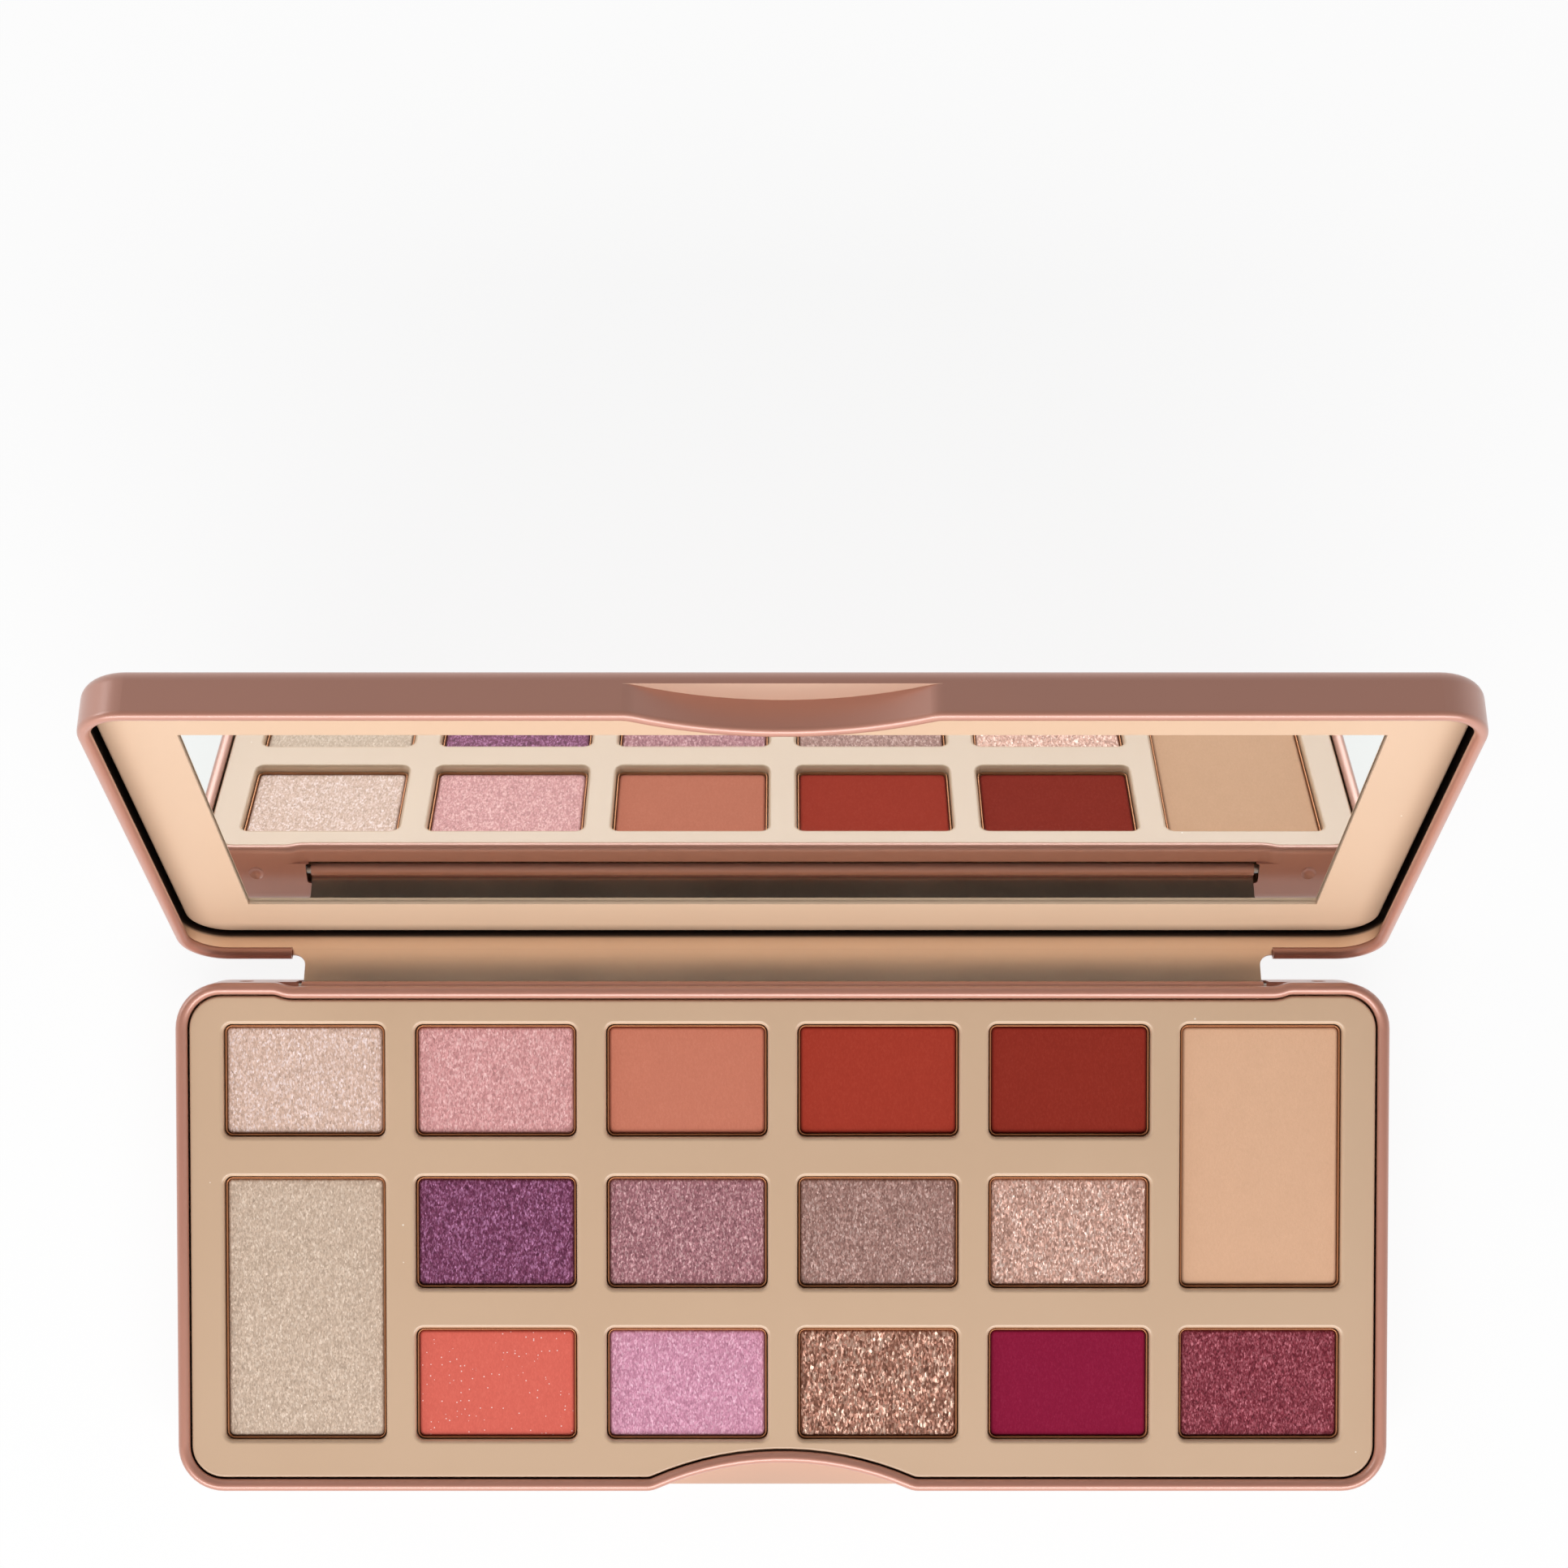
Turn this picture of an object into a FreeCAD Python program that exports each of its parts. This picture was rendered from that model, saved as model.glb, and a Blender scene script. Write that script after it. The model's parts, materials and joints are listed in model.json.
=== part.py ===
"""Eyeshadow palette: a slim hinged tin case with sixteen pans of pressed powder and a mirror in the lid.

Millimetres. X runs along the hinge, Y to the back and Z up; the origin is the centre of the base's underside.
The case stands open, with the lid leaning back on its hinge.
"""
import FreeCAD, Part
import math
import os

import Sketcher

doc = FreeCAD.newDocument("eyeshadow_palette")

# Driving sizes
SIZES = {
    # Tin case
    "case_width": 185.0,
    "case_depth": 78.0,
    "corner_radius": 7.0,
    "sheet": 0.3,
    "base_height": 10.6,
    "lid_height": 7.4,
    "edge_radius": 2.0,
    "roll_radius": 0.9,
    "roll_sweep": 285.0,
    "rim_gap": 0.35,
    # Thumb dent in the front of both rims
    "dent_radius": 48.0,
    "dent_rise": 4.35,
    "dent_height": 5.3,
    "lid_dent_height": 4.9,
    "dent_blend": 4.0,
    # Hinge
    "open_angle": 117.0,
    "hinge_drop": 4.6,
    "tongue_inset": 18.7,
    "tongue_corner": 1.8,
    "roll_end_gap": 0.2,
    "tongue_clearance": 0.3,
    "wire_diameter": 1.3,
    "wire_clearance": 0.05,
    "curl_sweep": 300.0,
    "slot_side_gap": 0.75,
    "slot_above": 1.8,
    "slot_below": 2.0,
    "slot_corner": 0.5,
    "joggle_radius": 4.5,
    "wire_overhang": 6.3,
    "dimple_radius": 1.2,
    "dimple_depth": 0.6,
    "dimple_gap": 0.3,
    # Tray
    "tray_drop": 0.8,
    "tray_gap": 0.25,
    "tray_plate": 1.2,
    "tray_edge": 0.4,
    "skirt_inset": 5.0,
    "skirt_corner": 2.0,
    "skirt_wall": 1.0,
    "hollow_corner": 1.0,
    "cup_floor": 0.8,
    "cup_wall": 0.8,
    "post_diameter": 6.0,
    "glue_thickness": 0.2,
    "glue_margin": 1.0,
    "end_margin": 7.15,
    "front_margin": 7.75,
    "rear_margin": 6.35,
    "land_across": 4.5,
    "land_deep": 6.0,
    "pocket_corner": 1.3,
    "pocket_edge": 0.6,
    "boss_length": 4.0,
    "boss_end_gap": 0.8,
    # Pans and powder
    "pan_sink": 1.0,
    "pan_gap": 0.2,
    "pan_height": 3.4,
    "pan_corner": 1.1,
    "pan_wall": 0.2,
    "pan_glue_thickness": 0.1,
    "pan_glue_diameter": 9.0,
    "powder_gap": 0.03,
    "powder_sink": 0.2,
    "powder_edge": 0.45,
    # Closure magnets
    "magnet_length": 15.0,
    "magnet_width": 2.4,
    "magnet_height": 3.0,
    "magnet_spacing": 90.0,
    # Mirror and its frame
    "frame_inset": 1.0,
    "frame_depth": 4.6,
    "frame_tape_thickness": 0.15,
    "frame_tape_width": 5.0,
    "frame_tape_margin": 1.5,
    "frame_edge": 0.5,
    "mirror_border_side": 11.5,
    "mirror_border_back": 11.0,
    "mirror_border_front": 13.6,
    "mirror_recess": 0.55,
    "mirror_gap": 0.15,
    "mirror_tape_thickness": 0.5,
    "mirror_tape_margin": 4.0,
}

sheet = doc.addObject("Spreadsheet::Sheet", "Sizes")
for row, (alias, value) in enumerate(SIZES.items(), start=1):
    sheet.set(f"A{row}", alias)
    sheet.set(f"B{row}", str(value))
    sheet.setAlias(f"B{row}", alias)
doc.recompute()

# Pans, counted across and from the back
COLUMNS = 6
ROWS = 3

# Expressions shared by several pieces
HALF_W = "Sizes.case_width / 2"
HALF_D = "Sizes.case_depth / 2"
RECESS = "(Sizes.sheet + Sizes.tongue_clearance)"
ROLL = "Sizes.roll_radius"
ROLL_INNER = "(Sizes.roll_radius - Sizes.sheet)"
WIRE_R = "Sizes.wire_diameter / 2"
BORE_R = "(Sizes.wire_diameter / 2 + Sizes.wire_clearance)"
CURL_R = "(Sizes.wire_diameter / 2 + Sizes.wire_clearance + Sizes.sheet)"
AXIS_Y = f"({HALF_D} - {CURL_R})"
AXIS_Z = "(Sizes.base_height - Sizes.hinge_drop)"
BASE_WALL_TOP = "(Sizes.base_height - Sizes.roll_radius)"
TONGUE_HALF = f"({HALF_W} - Sizes.tongue_inset)"
SLOT_HALF = f"({TONGUE_HALF} + Sizes.slot_side_gap)"
ROLL_END = f"({TONGUE_HALF} + Sizes.tongue_corner + Sizes.roll_end_gap)"
WIRE_HALF = f"({SLOT_HALF} + Sizes.wire_overhang)"
TRAY_TOP = "(Sizes.base_height - Sizes.tray_drop)"
PLATE_UNDER = f"({TRAY_TOP} - Sizes.tray_plate)"
PAN_TOP = f"({TRAY_TOP} - Sizes.pan_sink)"
PAN_BOTTOM = f"({PAN_TOP} - Sizes.pan_height)"
POCKET_FLOOR = f"({PAN_BOTTOM} - Sizes.pan_glue_thickness)"
CUP_UNDER = f"({POCKET_FLOOR} - Sizes.cup_floor)"
TRAY_FOOT = "(Sizes.sheet + Sizes.glue_thickness)"
# The lid is drawn shut, with the hinge axis as its origin
LID_RIM = "(Sizes.hinge_drop + Sizes.rim_gap)"
LID_TOP = f"({LID_RIM} + Sizes.lid_height)"
LID_WALL_FOOT = f"({LID_RIM} + {ROLL})"
LID_PLATE = f"({LID_TOP} - Sizes.sheet)"
FRAME_FACE = f"({LID_RIM} + Sizes.frame_depth)"
FRAME_BACK = f"({LID_PLATE} - Sizes.frame_tape_thickness)"
MIRROR_FACE = f"({FRAME_FACE} + Sizes.mirror_recess)"
MIRROR_BACK = f"({LID_PLATE} - Sizes.mirror_tape_thickness)"
MIRROR_Y = f"((Sizes.mirror_border_front - Sizes.mirror_border_back) / 2 - {AXIS_Y})"
MIRROR_HALF_X = f"({HALF_W} - Sizes.mirror_border_side)"
MIRROR_HALF_Y = f"({HALF_D} - (Sizes.mirror_border_front + Sizes.mirror_border_back) / 2)"
WINDOW_HALF_X = f"({MIRROR_HALF_X} + Sizes.mirror_gap)"
WINDOW_HALF_Y = f"({MIRROR_HALF_Y} + Sizes.mirror_gap)"
WINDOW_FRONT = f"({MIRROR_Y} - {WINDOW_HALF_Y})"
WINDOW_BACK = f"({MIRROR_Y} + {WINDOW_HALF_Y})"

SLOT_TOP = f"({AXIS_Z} + Sizes.slot_above)"
SLOT_FOOT = f"({AXIS_Z} - Sizes.slot_below)"

SKIRT_INNER = "(Sizes.skirt_inset + Sizes.skirt_wall)"
DIMPLE_X = f"({WIRE_HALF} + Sizes.dimple_radius + Sizes.dimple_gap)"
LID_MID = f"(-{AXIS_Y})"
# The pans share out the tray's plan between its margins and the lands that part them
LANDS_ACROSS = f"{COLUMNS - 1} * Sizes.land_across"
LANDS_DEEP = f"{ROWS - 1} * Sizes.land_deep"
POCKET_W = f"((Sizes.case_width - 2 * Sizes.end_margin - {LANDS_ACROSS}) / {COLUMNS})"
POCKET_D = f"((Sizes.case_depth - Sizes.front_margin - Sizes.rear_margin - {LANDS_DEEP}) / {ROWS})"
LARGE_POCKET_D = f"(2 * {POCKET_D} + Sizes.land_deep)"
PITCH_ACROSS = f"({POCKET_W} + Sizes.land_across)"
PITCH_DEEP = f"({POCKET_D} + Sizes.land_deep)"
LAYOUT_Y = "(Sizes.front_margin - Sizes.rear_margin) / 2"

SIDES = (1, -1)
TOUCH = 1e-6
# Grid cells, as column and row counted from the left and from the back; a large pan covers two rows
LARGE_PANS = {(5, 0), (0, 1)}
COVERED = {(column, row + 1) for column, row in LARGE_PANS}
PANS = [(column, row) for row in range(ROWS) for column in range(COLUMNS) if (column, row) not in COVERED]
PAN_NAMES = {cell: f"{number:02d}" for number, cell in enumerate(PANS, start=1)}

# Pockets cut as rows of small ones, and each large one by itself
SMALL_PANS = [cell for cell in PANS if cell not in LARGE_PANS]
POCKET_RUNS = [[cell for cell in SMALL_PANS if cell[1] == row] for row in range(ROWS)]
POCKET_RUNS += [[cell] for cell in PANS if cell in LARGE_PANS]
POST_CELLS = [(column, row) for column, row in PANS if (column + row) % 2 == 0]

NODES = []


def num(expression):
    """The present value of an expression in millimetres or degrees."""
    value = sheet.evalExpression(expression)
    return float(getattr(value, "Value", value))


def origin_plane(body, role):
    """The body's own origin plane or axis of that role."""
    return next(item for item in body.Origin.OriginFeatures if item.Role == role)


def new_node(kind, label, on_lid=False):
    """An empty sub-part under its node name; the lid's sub-parts sit on the hinge axis, swung open."""
    node = doc.addObject(kind, label)
    node.Label = label
    if on_lid:
        node.Placement.Rotation = FreeCAD.Rotation(FreeCAD.Vector(-1, 0, 0), num("Sizes.open_angle"))
        node.setExpression("Placement.Base.y", AXIS_Y)
        node.setExpression("Placement.Base.z", AXIS_Z)
        node.setExpression("Placement.Rotation.Angle", "Sizes.open_angle")
    NODES.append(node)
    return node


def new_body(label, on_lid=False):
    return new_node("PartDesign::Body", label, on_lid)


def new_sketch(body, name, offset="0", role="XY_Plane"):
    """A sketch on one of the body's origin planes, moved along the plane's normal."""
    sketch = body.newObject("Sketcher::SketchObject", name)
    sketch.AttachmentSupport = (origin_plane(body, role), [""])
    sketch.MapMode = "FlatFace"
    sketch.setExpression("AttachmentOffset.Base.z", offset)
    return sketch


def first_last(side):
    """Which ends of an arc come first and last on the right; the left mirrors them."""
    return (1, 2) if side > 0 else (2, 1)


def add_line(sketch, start, end):
    return sketch.addGeometry(Part.LineSegment(FreeCAD.Vector(*start, 0), FreeCAD.Vector(*end, 0)), False)


def add_arc(sketch, centre, radius, first, last):
    """An arc drawn counter-clockwise between two angles in degrees."""
    circle = Part.Circle(FreeCAD.Vector(*centre, 0), FreeCAD.Vector(0, 0, 1), radius)
    return sketch.addGeometry(Part.ArcOfCircle(circle, math.radians(first), math.radians(last)), False)


def tie(sketch, *parts):
    """A constraint without a size."""
    sketch.addConstraint(Sketcher.Constraint(*parts))


def size(sketch, expression, *parts):
    """A constraint whose size follows an expression."""
    index = sketch.addConstraint(Sketcher.Constraint(*parts, num(expression)))
    sketch.setExpression(f"Constraints[{index}]", expression)


def place_x(sketch, geometry, point, expression):
    size(sketch, expression, "DistanceX", -1, 1, geometry, point)


def place_y(sketch, geometry, point, expression):
    size(sketch, expression, "DistanceY", -1, 1, geometry, point)


def draw_box(sketch, left, front, right, back):
    """A rectangle whose four sides follow expressions."""
    x0, y0, x1, y1 = num(left), num(front), num(right), num(back)
    corners = [(x0, y0), (x1, y0), (x1, y1), (x0, y1)]
    lines = [add_line(sketch, corners[i], corners[(i + 1) % 4]) for i in range(4)]
    for i in range(4):
        tie(sketch, "Coincident", lines[i], 2, lines[(i + 1) % 4], 1)
        tie(sketch, "Horizontal" if i % 2 == 0 else "Vertical", lines[i])
    place_x(sketch, lines[0], 1, left)
    place_y(sketch, lines[0], 1, front)
    place_x(sketch, lines[2], 1, right)
    place_y(sketch, lines[2], 1, back)


def draw_round_box(sketch, left, front, right, back, radius):
    """A rectangle with round corners whose sides and radius follow expressions."""
    x0, y0, x1, y1, r = num(left), num(front), num(right), num(back), num(radius)
    lines = [
        add_line(sketch, (x0 + r, y0), (x1 - r, y0)),
        add_line(sketch, (x1, y0 + r), (x1, y1 - r)),
        add_line(sketch, (x1 - r, y1), (x0 + r, y1)),
        add_line(sketch, (x0, y1 - r), (x0, y0 + r)),
    ]
    arcs = [
        add_arc(sketch, (x1 - r, y0 + r), r, -90, 0),
        add_arc(sketch, (x1 - r, y1 - r), r, 0, 90),
        add_arc(sketch, (x0 + r, y1 - r), r, 90, 180),
        add_arc(sketch, (x0 + r, y0 + r), r, 180, 270),
    ]
    for i in range(4):
        tie(sketch, "Tangent", lines[i], 2, arcs[i], 1)
        tie(sketch, "Tangent", arcs[i], 2, lines[(i + 1) % 4], 1)
        tie(sketch, "Horizontal" if i % 2 == 0 else "Vertical", lines[i])
    for arc in arcs[1:]:
        tie(sketch, "Equal", arcs[0], arc)
    size(sketch, radius, "Radius", arcs[0])
    place_x(sketch, lines[3], 1, left)
    place_y(sketch, lines[0], 1, front)
    place_x(sketch, lines[1], 1, right)
    place_y(sketch, lines[2], 1, back)


def draw_circle(sketch, x, y, radius):
    """A circle whose place and radius follow expressions."""
    centre = FreeCAD.Vector(num(x), num(y), 0)
    circle = sketch.addGeometry(Part.Circle(centre, FreeCAD.Vector(0, 0, 1), num(radius)), False)
    place_x(sketch, circle, 3, x)
    place_y(sketch, circle, 3, y)
    size(sketch, radius, "Radius", circle)


def dent_numbers(shift):
    """Centre heights and the blend's place along X for the thumb dent, before any inset."""
    half_d = num(HALF_D)
    radius, rise, blend = num("Sizes.dent_radius"), num("Sizes.dent_rise"), num("Sizes.dent_blend")
    dent_y = -half_d - radius + rise + shift
    blend_y = -half_d + blend + shift
    blend_x = math.sqrt((radius + blend) ** 2 - (blend_y - dent_y) ** 2)
    return dent_y, blend_y, blend_x, math.degrees(math.atan2(blend_y - dent_y, blend_x))


def draw_dent(sketch, inset, mid_y):
    """The dent's arc and its two blends, at an inset from the outer wall; returns each blend's wall end."""
    dent_y, blend_y, blend_x, angle = dent_numbers(num(mid_y))
    depth = num(inset)
    arc = add_arc(sketch, (0, dent_y), num("Sizes.dent_radius") + depth, angle, 180 - angle)
    tie(sketch, "PointOnObject", arc, 3, -2)
    place_y(sketch, arc, 3, f"{mid_y} - {HALF_D} - Sizes.dent_radius + Sizes.dent_rise")
    size(sketch, f"Sizes.dent_radius + {inset}", "Radius", arc)
    ends = {}
    for side in SIDES:
        span = (180 + angle, 270) if side > 0 else (270, 360 - angle)
        blend = add_arc(sketch, (side * blend_x, blend_y), num("Sizes.dent_blend") - depth, *span)
        dent_end, wall_end = first_last(side)
        tie(sketch, "Tangent", blend, dent_end, arc, dent_end)
        size(sketch, f"Sizes.dent_blend - {inset}", "Radius", blend)
        ends[side] = (blend, wall_end)
    return ends


def draw_joggle(sketch, inset):
    """The back edge set in beside the hinge tongue, with a double bend at each end; returns the wall ends."""
    half_d, depth, recess = num(HALF_D), num(inset), num(RECESS)
    bend, slot = num("Sizes.joggle_radius"), num(SLOT_HALF)
    run = math.sqrt(4 * bend * recess - recess ** 2)
    angle = math.degrees(math.atan2(run / 2, bend - recess / 2))
    level = half_d - recess - depth
    lines, ends = {}, {}
    for side in SIDES:
        start, end = first_last(side)
        inner_span = (270, 270 + angle) if side > 0 else (270 - angle, 270)
        outer_span = (90, 90 + angle) if side > 0 else (90 - angle, 90)
        line = add_line(sketch, (0, level), (side * slot, level))
        inner = add_arc(sketch, (side * slot, half_d - recess + bend), bend + depth, *inner_span)
        outer = add_arc(sketch, (side * (slot + run), half_d - bend), bend - depth, *outer_span)
        tie(sketch, "Horizontal", line)
        tie(sketch, "Tangent", line, 2, inner, start)
        tie(sketch, "Tangent", inner, end, outer, end)
        size(sketch, f"Sizes.joggle_radius + {inset}", "Radius", inner)
        size(sketch, f"Sizes.joggle_radius - {inset}", "Radius", outer)
        place_x(sketch, line, 2, f"{side} * {SLOT_HALF}")
        lines[side] = line
        ends[side] = (outer, start)
    tie(sketch, "Coincident", lines[1], 1, lines[-1], 1)
    tie(sketch, "PointOnObject", lines[1], 1, -2)
    place_y(sketch, lines[1], 1, f"{HALF_D} - {RECESS} - {inset}")
    return ends


def draw_case_side(sketch, side, inset, mid_y, blend, blend_end):
    """One side of the case's outline, from its back line round to the dent; returns the back line."""
    half_w, half_d, shift, depth = num(HALF_W), num(HALF_D), num(mid_y), num(inset)
    corner = num("Sizes.corner_radius")
    x, back, front = side * (half_w - depth), half_d - depth + shift, depth - half_d + shift
    turn, rear, near = side * (half_w - corner), half_d - corner + shift, corner - half_d + shift
    start, end = first_last(side)
    spans = ((0, 90), (270, 360)) if side > 0 else ((90, 180), (180, 270))
    back_line = add_line(sketch, (side * (num(SLOT_HALF) + depth), back), (turn, back))
    rear_arc = add_arc(sketch, (turn, rear), corner - depth, *spans[0])
    side_line = add_line(sketch, (x, rear), (x, near))
    front_arc = add_arc(sketch, (turn, near), corner - depth, *spans[1])
    front_line = add_line(sketch, (turn, front), (side * dent_numbers(shift)[2], front))
    tie(sketch, "Tangent", back_line, 2, rear_arc, end)
    tie(sketch, "Tangent", rear_arc, start, side_line, 1)
    tie(sketch, "Tangent", side_line, 2, front_arc, end)
    tie(sketch, "Tangent", front_arc, start, front_line, 1)
    tie(sketch, "Tangent", front_line, 2, blend, blend_end)
    tie(sketch, "Horizontal", back_line)
    tie(sketch, "Vertical", side_line)
    tie(sketch, "Horizontal", front_line)
    for arc in (rear_arc, front_arc):
        size(sketch, f"Sizes.corner_radius - {inset}", "Radius", arc)
    place_x(sketch, side_line, 1, f"{side} * ({HALF_W} - {inset})")
    place_y(sketch, back_line, 1, f"{mid_y} + {HALF_D} - {inset}")
    place_y(sketch, front_line, 1, f"{mid_y} - {HALF_D} + {inset}")
    return back_line


def draw_case_outline(sketch, inset, hinge, mid_y="0"):
    """The case's outline at an inset from its outer wall.

    hinge is "set_in" for the base, whose back edge gives way to the tongue, "straight" for a plain back
    edge and "open" for the lid's rim, which stops on both sides of the tongue.
    """
    blends = draw_dent(sketch, inset, mid_y)
    backs = {side: draw_case_side(sketch, side, inset, mid_y, *blends[side]) for side in SIDES}
    if hinge == "set_in":
        for side, (arc, end) in draw_joggle(sketch, inset).items():
            tie(sketch, "Tangent", arc, end, backs[side], 1)
    elif hinge == "open":
        for side, line in backs.items():
            place_x(sketch, line, 1, f"{side} * {ROLL_END}")
    else:
        for line in backs.values():
            tie(sketch, "PointOnObject", line, 1, -2)


def close_area(sketch, ends, wall, edge):
    """Closes a dent's or joggle's curve with a straight edge beside the wall."""
    corners = {}
    for side, (arc, end) in ends.items():
        point = sketch.getPoint(arc, end)
        line = add_line(sketch, (point.x, point.y), (point.x, num(edge)))
        tie(sketch, "Coincident", line, 1, arc, end)
        tie(sketch, "Vertical", line)
        tie(sketch, "Vertical", arc, end, arc, 3)
        place_y(sketch, line, 1, wall)
        corners[side] = (line, point.x)
    closing = add_line(sketch, (corners[-1][1], num(edge)), (corners[1][1], num(edge)))
    tie(sketch, "Coincident", closing, 1, corners[-1][0], 2)
    tie(sketch, "Coincident", closing, 2, corners[1][0], 2)
    tie(sketch, "Horizontal", closing)
    place_y(sketch, closing, 1, edge)


def pad(body, sketch, name, length):
    feature = body.newObject("PartDesign::Pad", name)
    feature.Profile = sketch
    feature.setExpression("Length", length)
    return feature


def pocket(body, sketch, name, length, reverse=False):
    """A cut against the sketch's normal, or along it if reversed, that has to take material away."""
    doc.recompute()
    before = body.Shape.Volume
    feature = body.newObject("PartDesign::Pocket", name)
    feature.Profile = sketch
    feature.Reversed = reverse
    feature.setExpression("Length", length)
    doc.recompute()
    if not body.Shape.Volume < before:
        raise RuntimeError(f"{body.Label}: {name} cuts nothing")
    return feature


def repeat_across(body, feature, name, count):
    """A row of copies to the right, one column apart."""
    row = body.newObject("PartDesign::LinearPattern", name)
    row.Originals = [feature]
    row.Direction = (origin_plane(body, "X_Axis"), [""])
    row.Occurrences = count
    row.setExpression("Length", f"{count - 1} * {PITCH_ACROSS}")
    body.Tip = row


def dress_edges(body, kind, name, wanted):
    """A feature of that kind on the edges of the body's last feature that pass a test."""
    doc.recompute()
    base = body.Tip
    names = [f"Edge{i}" for i, edge in enumerate(base.Shape.Edges, start=1) if wanted(edge)]
    if not names:
        raise RuntimeError(f"{body.Label}: {name} finds no edge")
    feature = body.newObject(kind, name)
    feature.Base = (base, names)
    return feature


def round_edges(body, name, radius, wanted):
    dress_edges(body, "PartDesign::Fillet", name, wanted).setExpression("Radius", radius)


def bevel_edges(body, name, width, wanted):
    dress_edges(body, "PartDesign::Chamfer", name, wanted).setExpression("Size", width)


def at_height(height):
    """A test for edges that lie flat at one height of their body."""
    level = num(height)
    return lambda edge: edge.BoundBox.ZLength < TOUCH and abs(edge.BoundBox.ZMin - level) < TOUCH


def hollow_out(body, name, open_height):
    """Leaves a wall of sheet metal, open at the flat face that lies at one height."""
    doc.recompute()
    base = body.Tip
    level = num(open_height)
    faces = [
        f"Face{i}"
        for i, face in enumerate(base.Shape.Faces, start=1)
        if face.BoundBox.ZLength < TOUCH and abs(face.BoundBox.ZMin - level) < TOUCH
    ]
    feature = body.newObject("PartDesign::Thickness", name)
    feature.Base = (base, faces)
    feature.Reversed = True
    feature.setExpression("Value", "Sizes.sheet")
    return feature


def draw_curl(sketch, centre, radii, sweep, upwards, strip=None):
    """The section of a sheet rolled round a centre, from its outer face on.

    It starts level with the centre and turns upwards or downwards first; a strip carries the sheet on
    from there, straight up to a height.
    """
    y, z = num(centre[0]), num(centre[1])
    angle = num(sweep)
    first, last = (0, angle) if upwards else (-angle, 0)
    wall, tip = (1, 2) if upwards else (2, 1)
    arcs = [add_arc(sketch, (y, z), num(radius), first, last) for radius in radii]
    tip_at = math.radians(angle if upwards else -angle)
    tip_y, tip_z = math.cos(tip_at), math.sin(tip_at)
    tip_line = add_line(sketch, *[(y + num(radius) * tip_y, z + num(radius) * tip_z) for radius in radii])
    tie(sketch, "Coincident", arcs[1], 3, arcs[0], 3)
    for i in range(2):
        tie(sketch, "Coincident", tip_line, i + 1, arcs[i], tip)
        size(sketch, radii[i], "Radius", arcs[i])
        tie(sketch, "Horizontal", arcs[i], wall, arcs[i], 3)
    place_x(sketch, arcs[0], 3, centre[0])
    place_y(sketch, arcs[0], 3, centre[1])
    place_x(sketch, tip_line, 1, f"{centre[0]} + {radii[0]} * cos({sweep} * 1 deg)")
    tie(sketch, "PointOnObject", arcs[0], 3, tip_line)
    top = num(strip) if strip else z
    ends = [(y + num(radius), top) for radius in radii]
    end_line = add_line(sketch, *ends)
    if strip is None:
        for i in range(2):
            tie(sketch, "Coincident", end_line, i + 1, arcs[i], wall)
        return
    tie(sketch, "Horizontal", end_line)
    place_y(sketch, end_line, 1, strip)
    for i in range(2):
        line = add_line(sketch, (ends[i][0], z), ends[i])
        tie(sketch, "Coincident", line, 1, arcs[i], wall)
        tie(sketch, "Coincident", line, 2, end_line, i + 1)
        tie(sketch, "Vertical", line)


def sweep_rim(body, section, path):
    """A rolled rim swept along its path, upright all the way."""
    rim = body.newObject("PartDesign::AdditivePipe", "Rim")
    rim.Profile = section
    rim.Spine = path
    rim.Mode = "Binormal"
    rim.Binormal = FreeCAD.Vector(0, 0, 1)
    return rim


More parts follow.
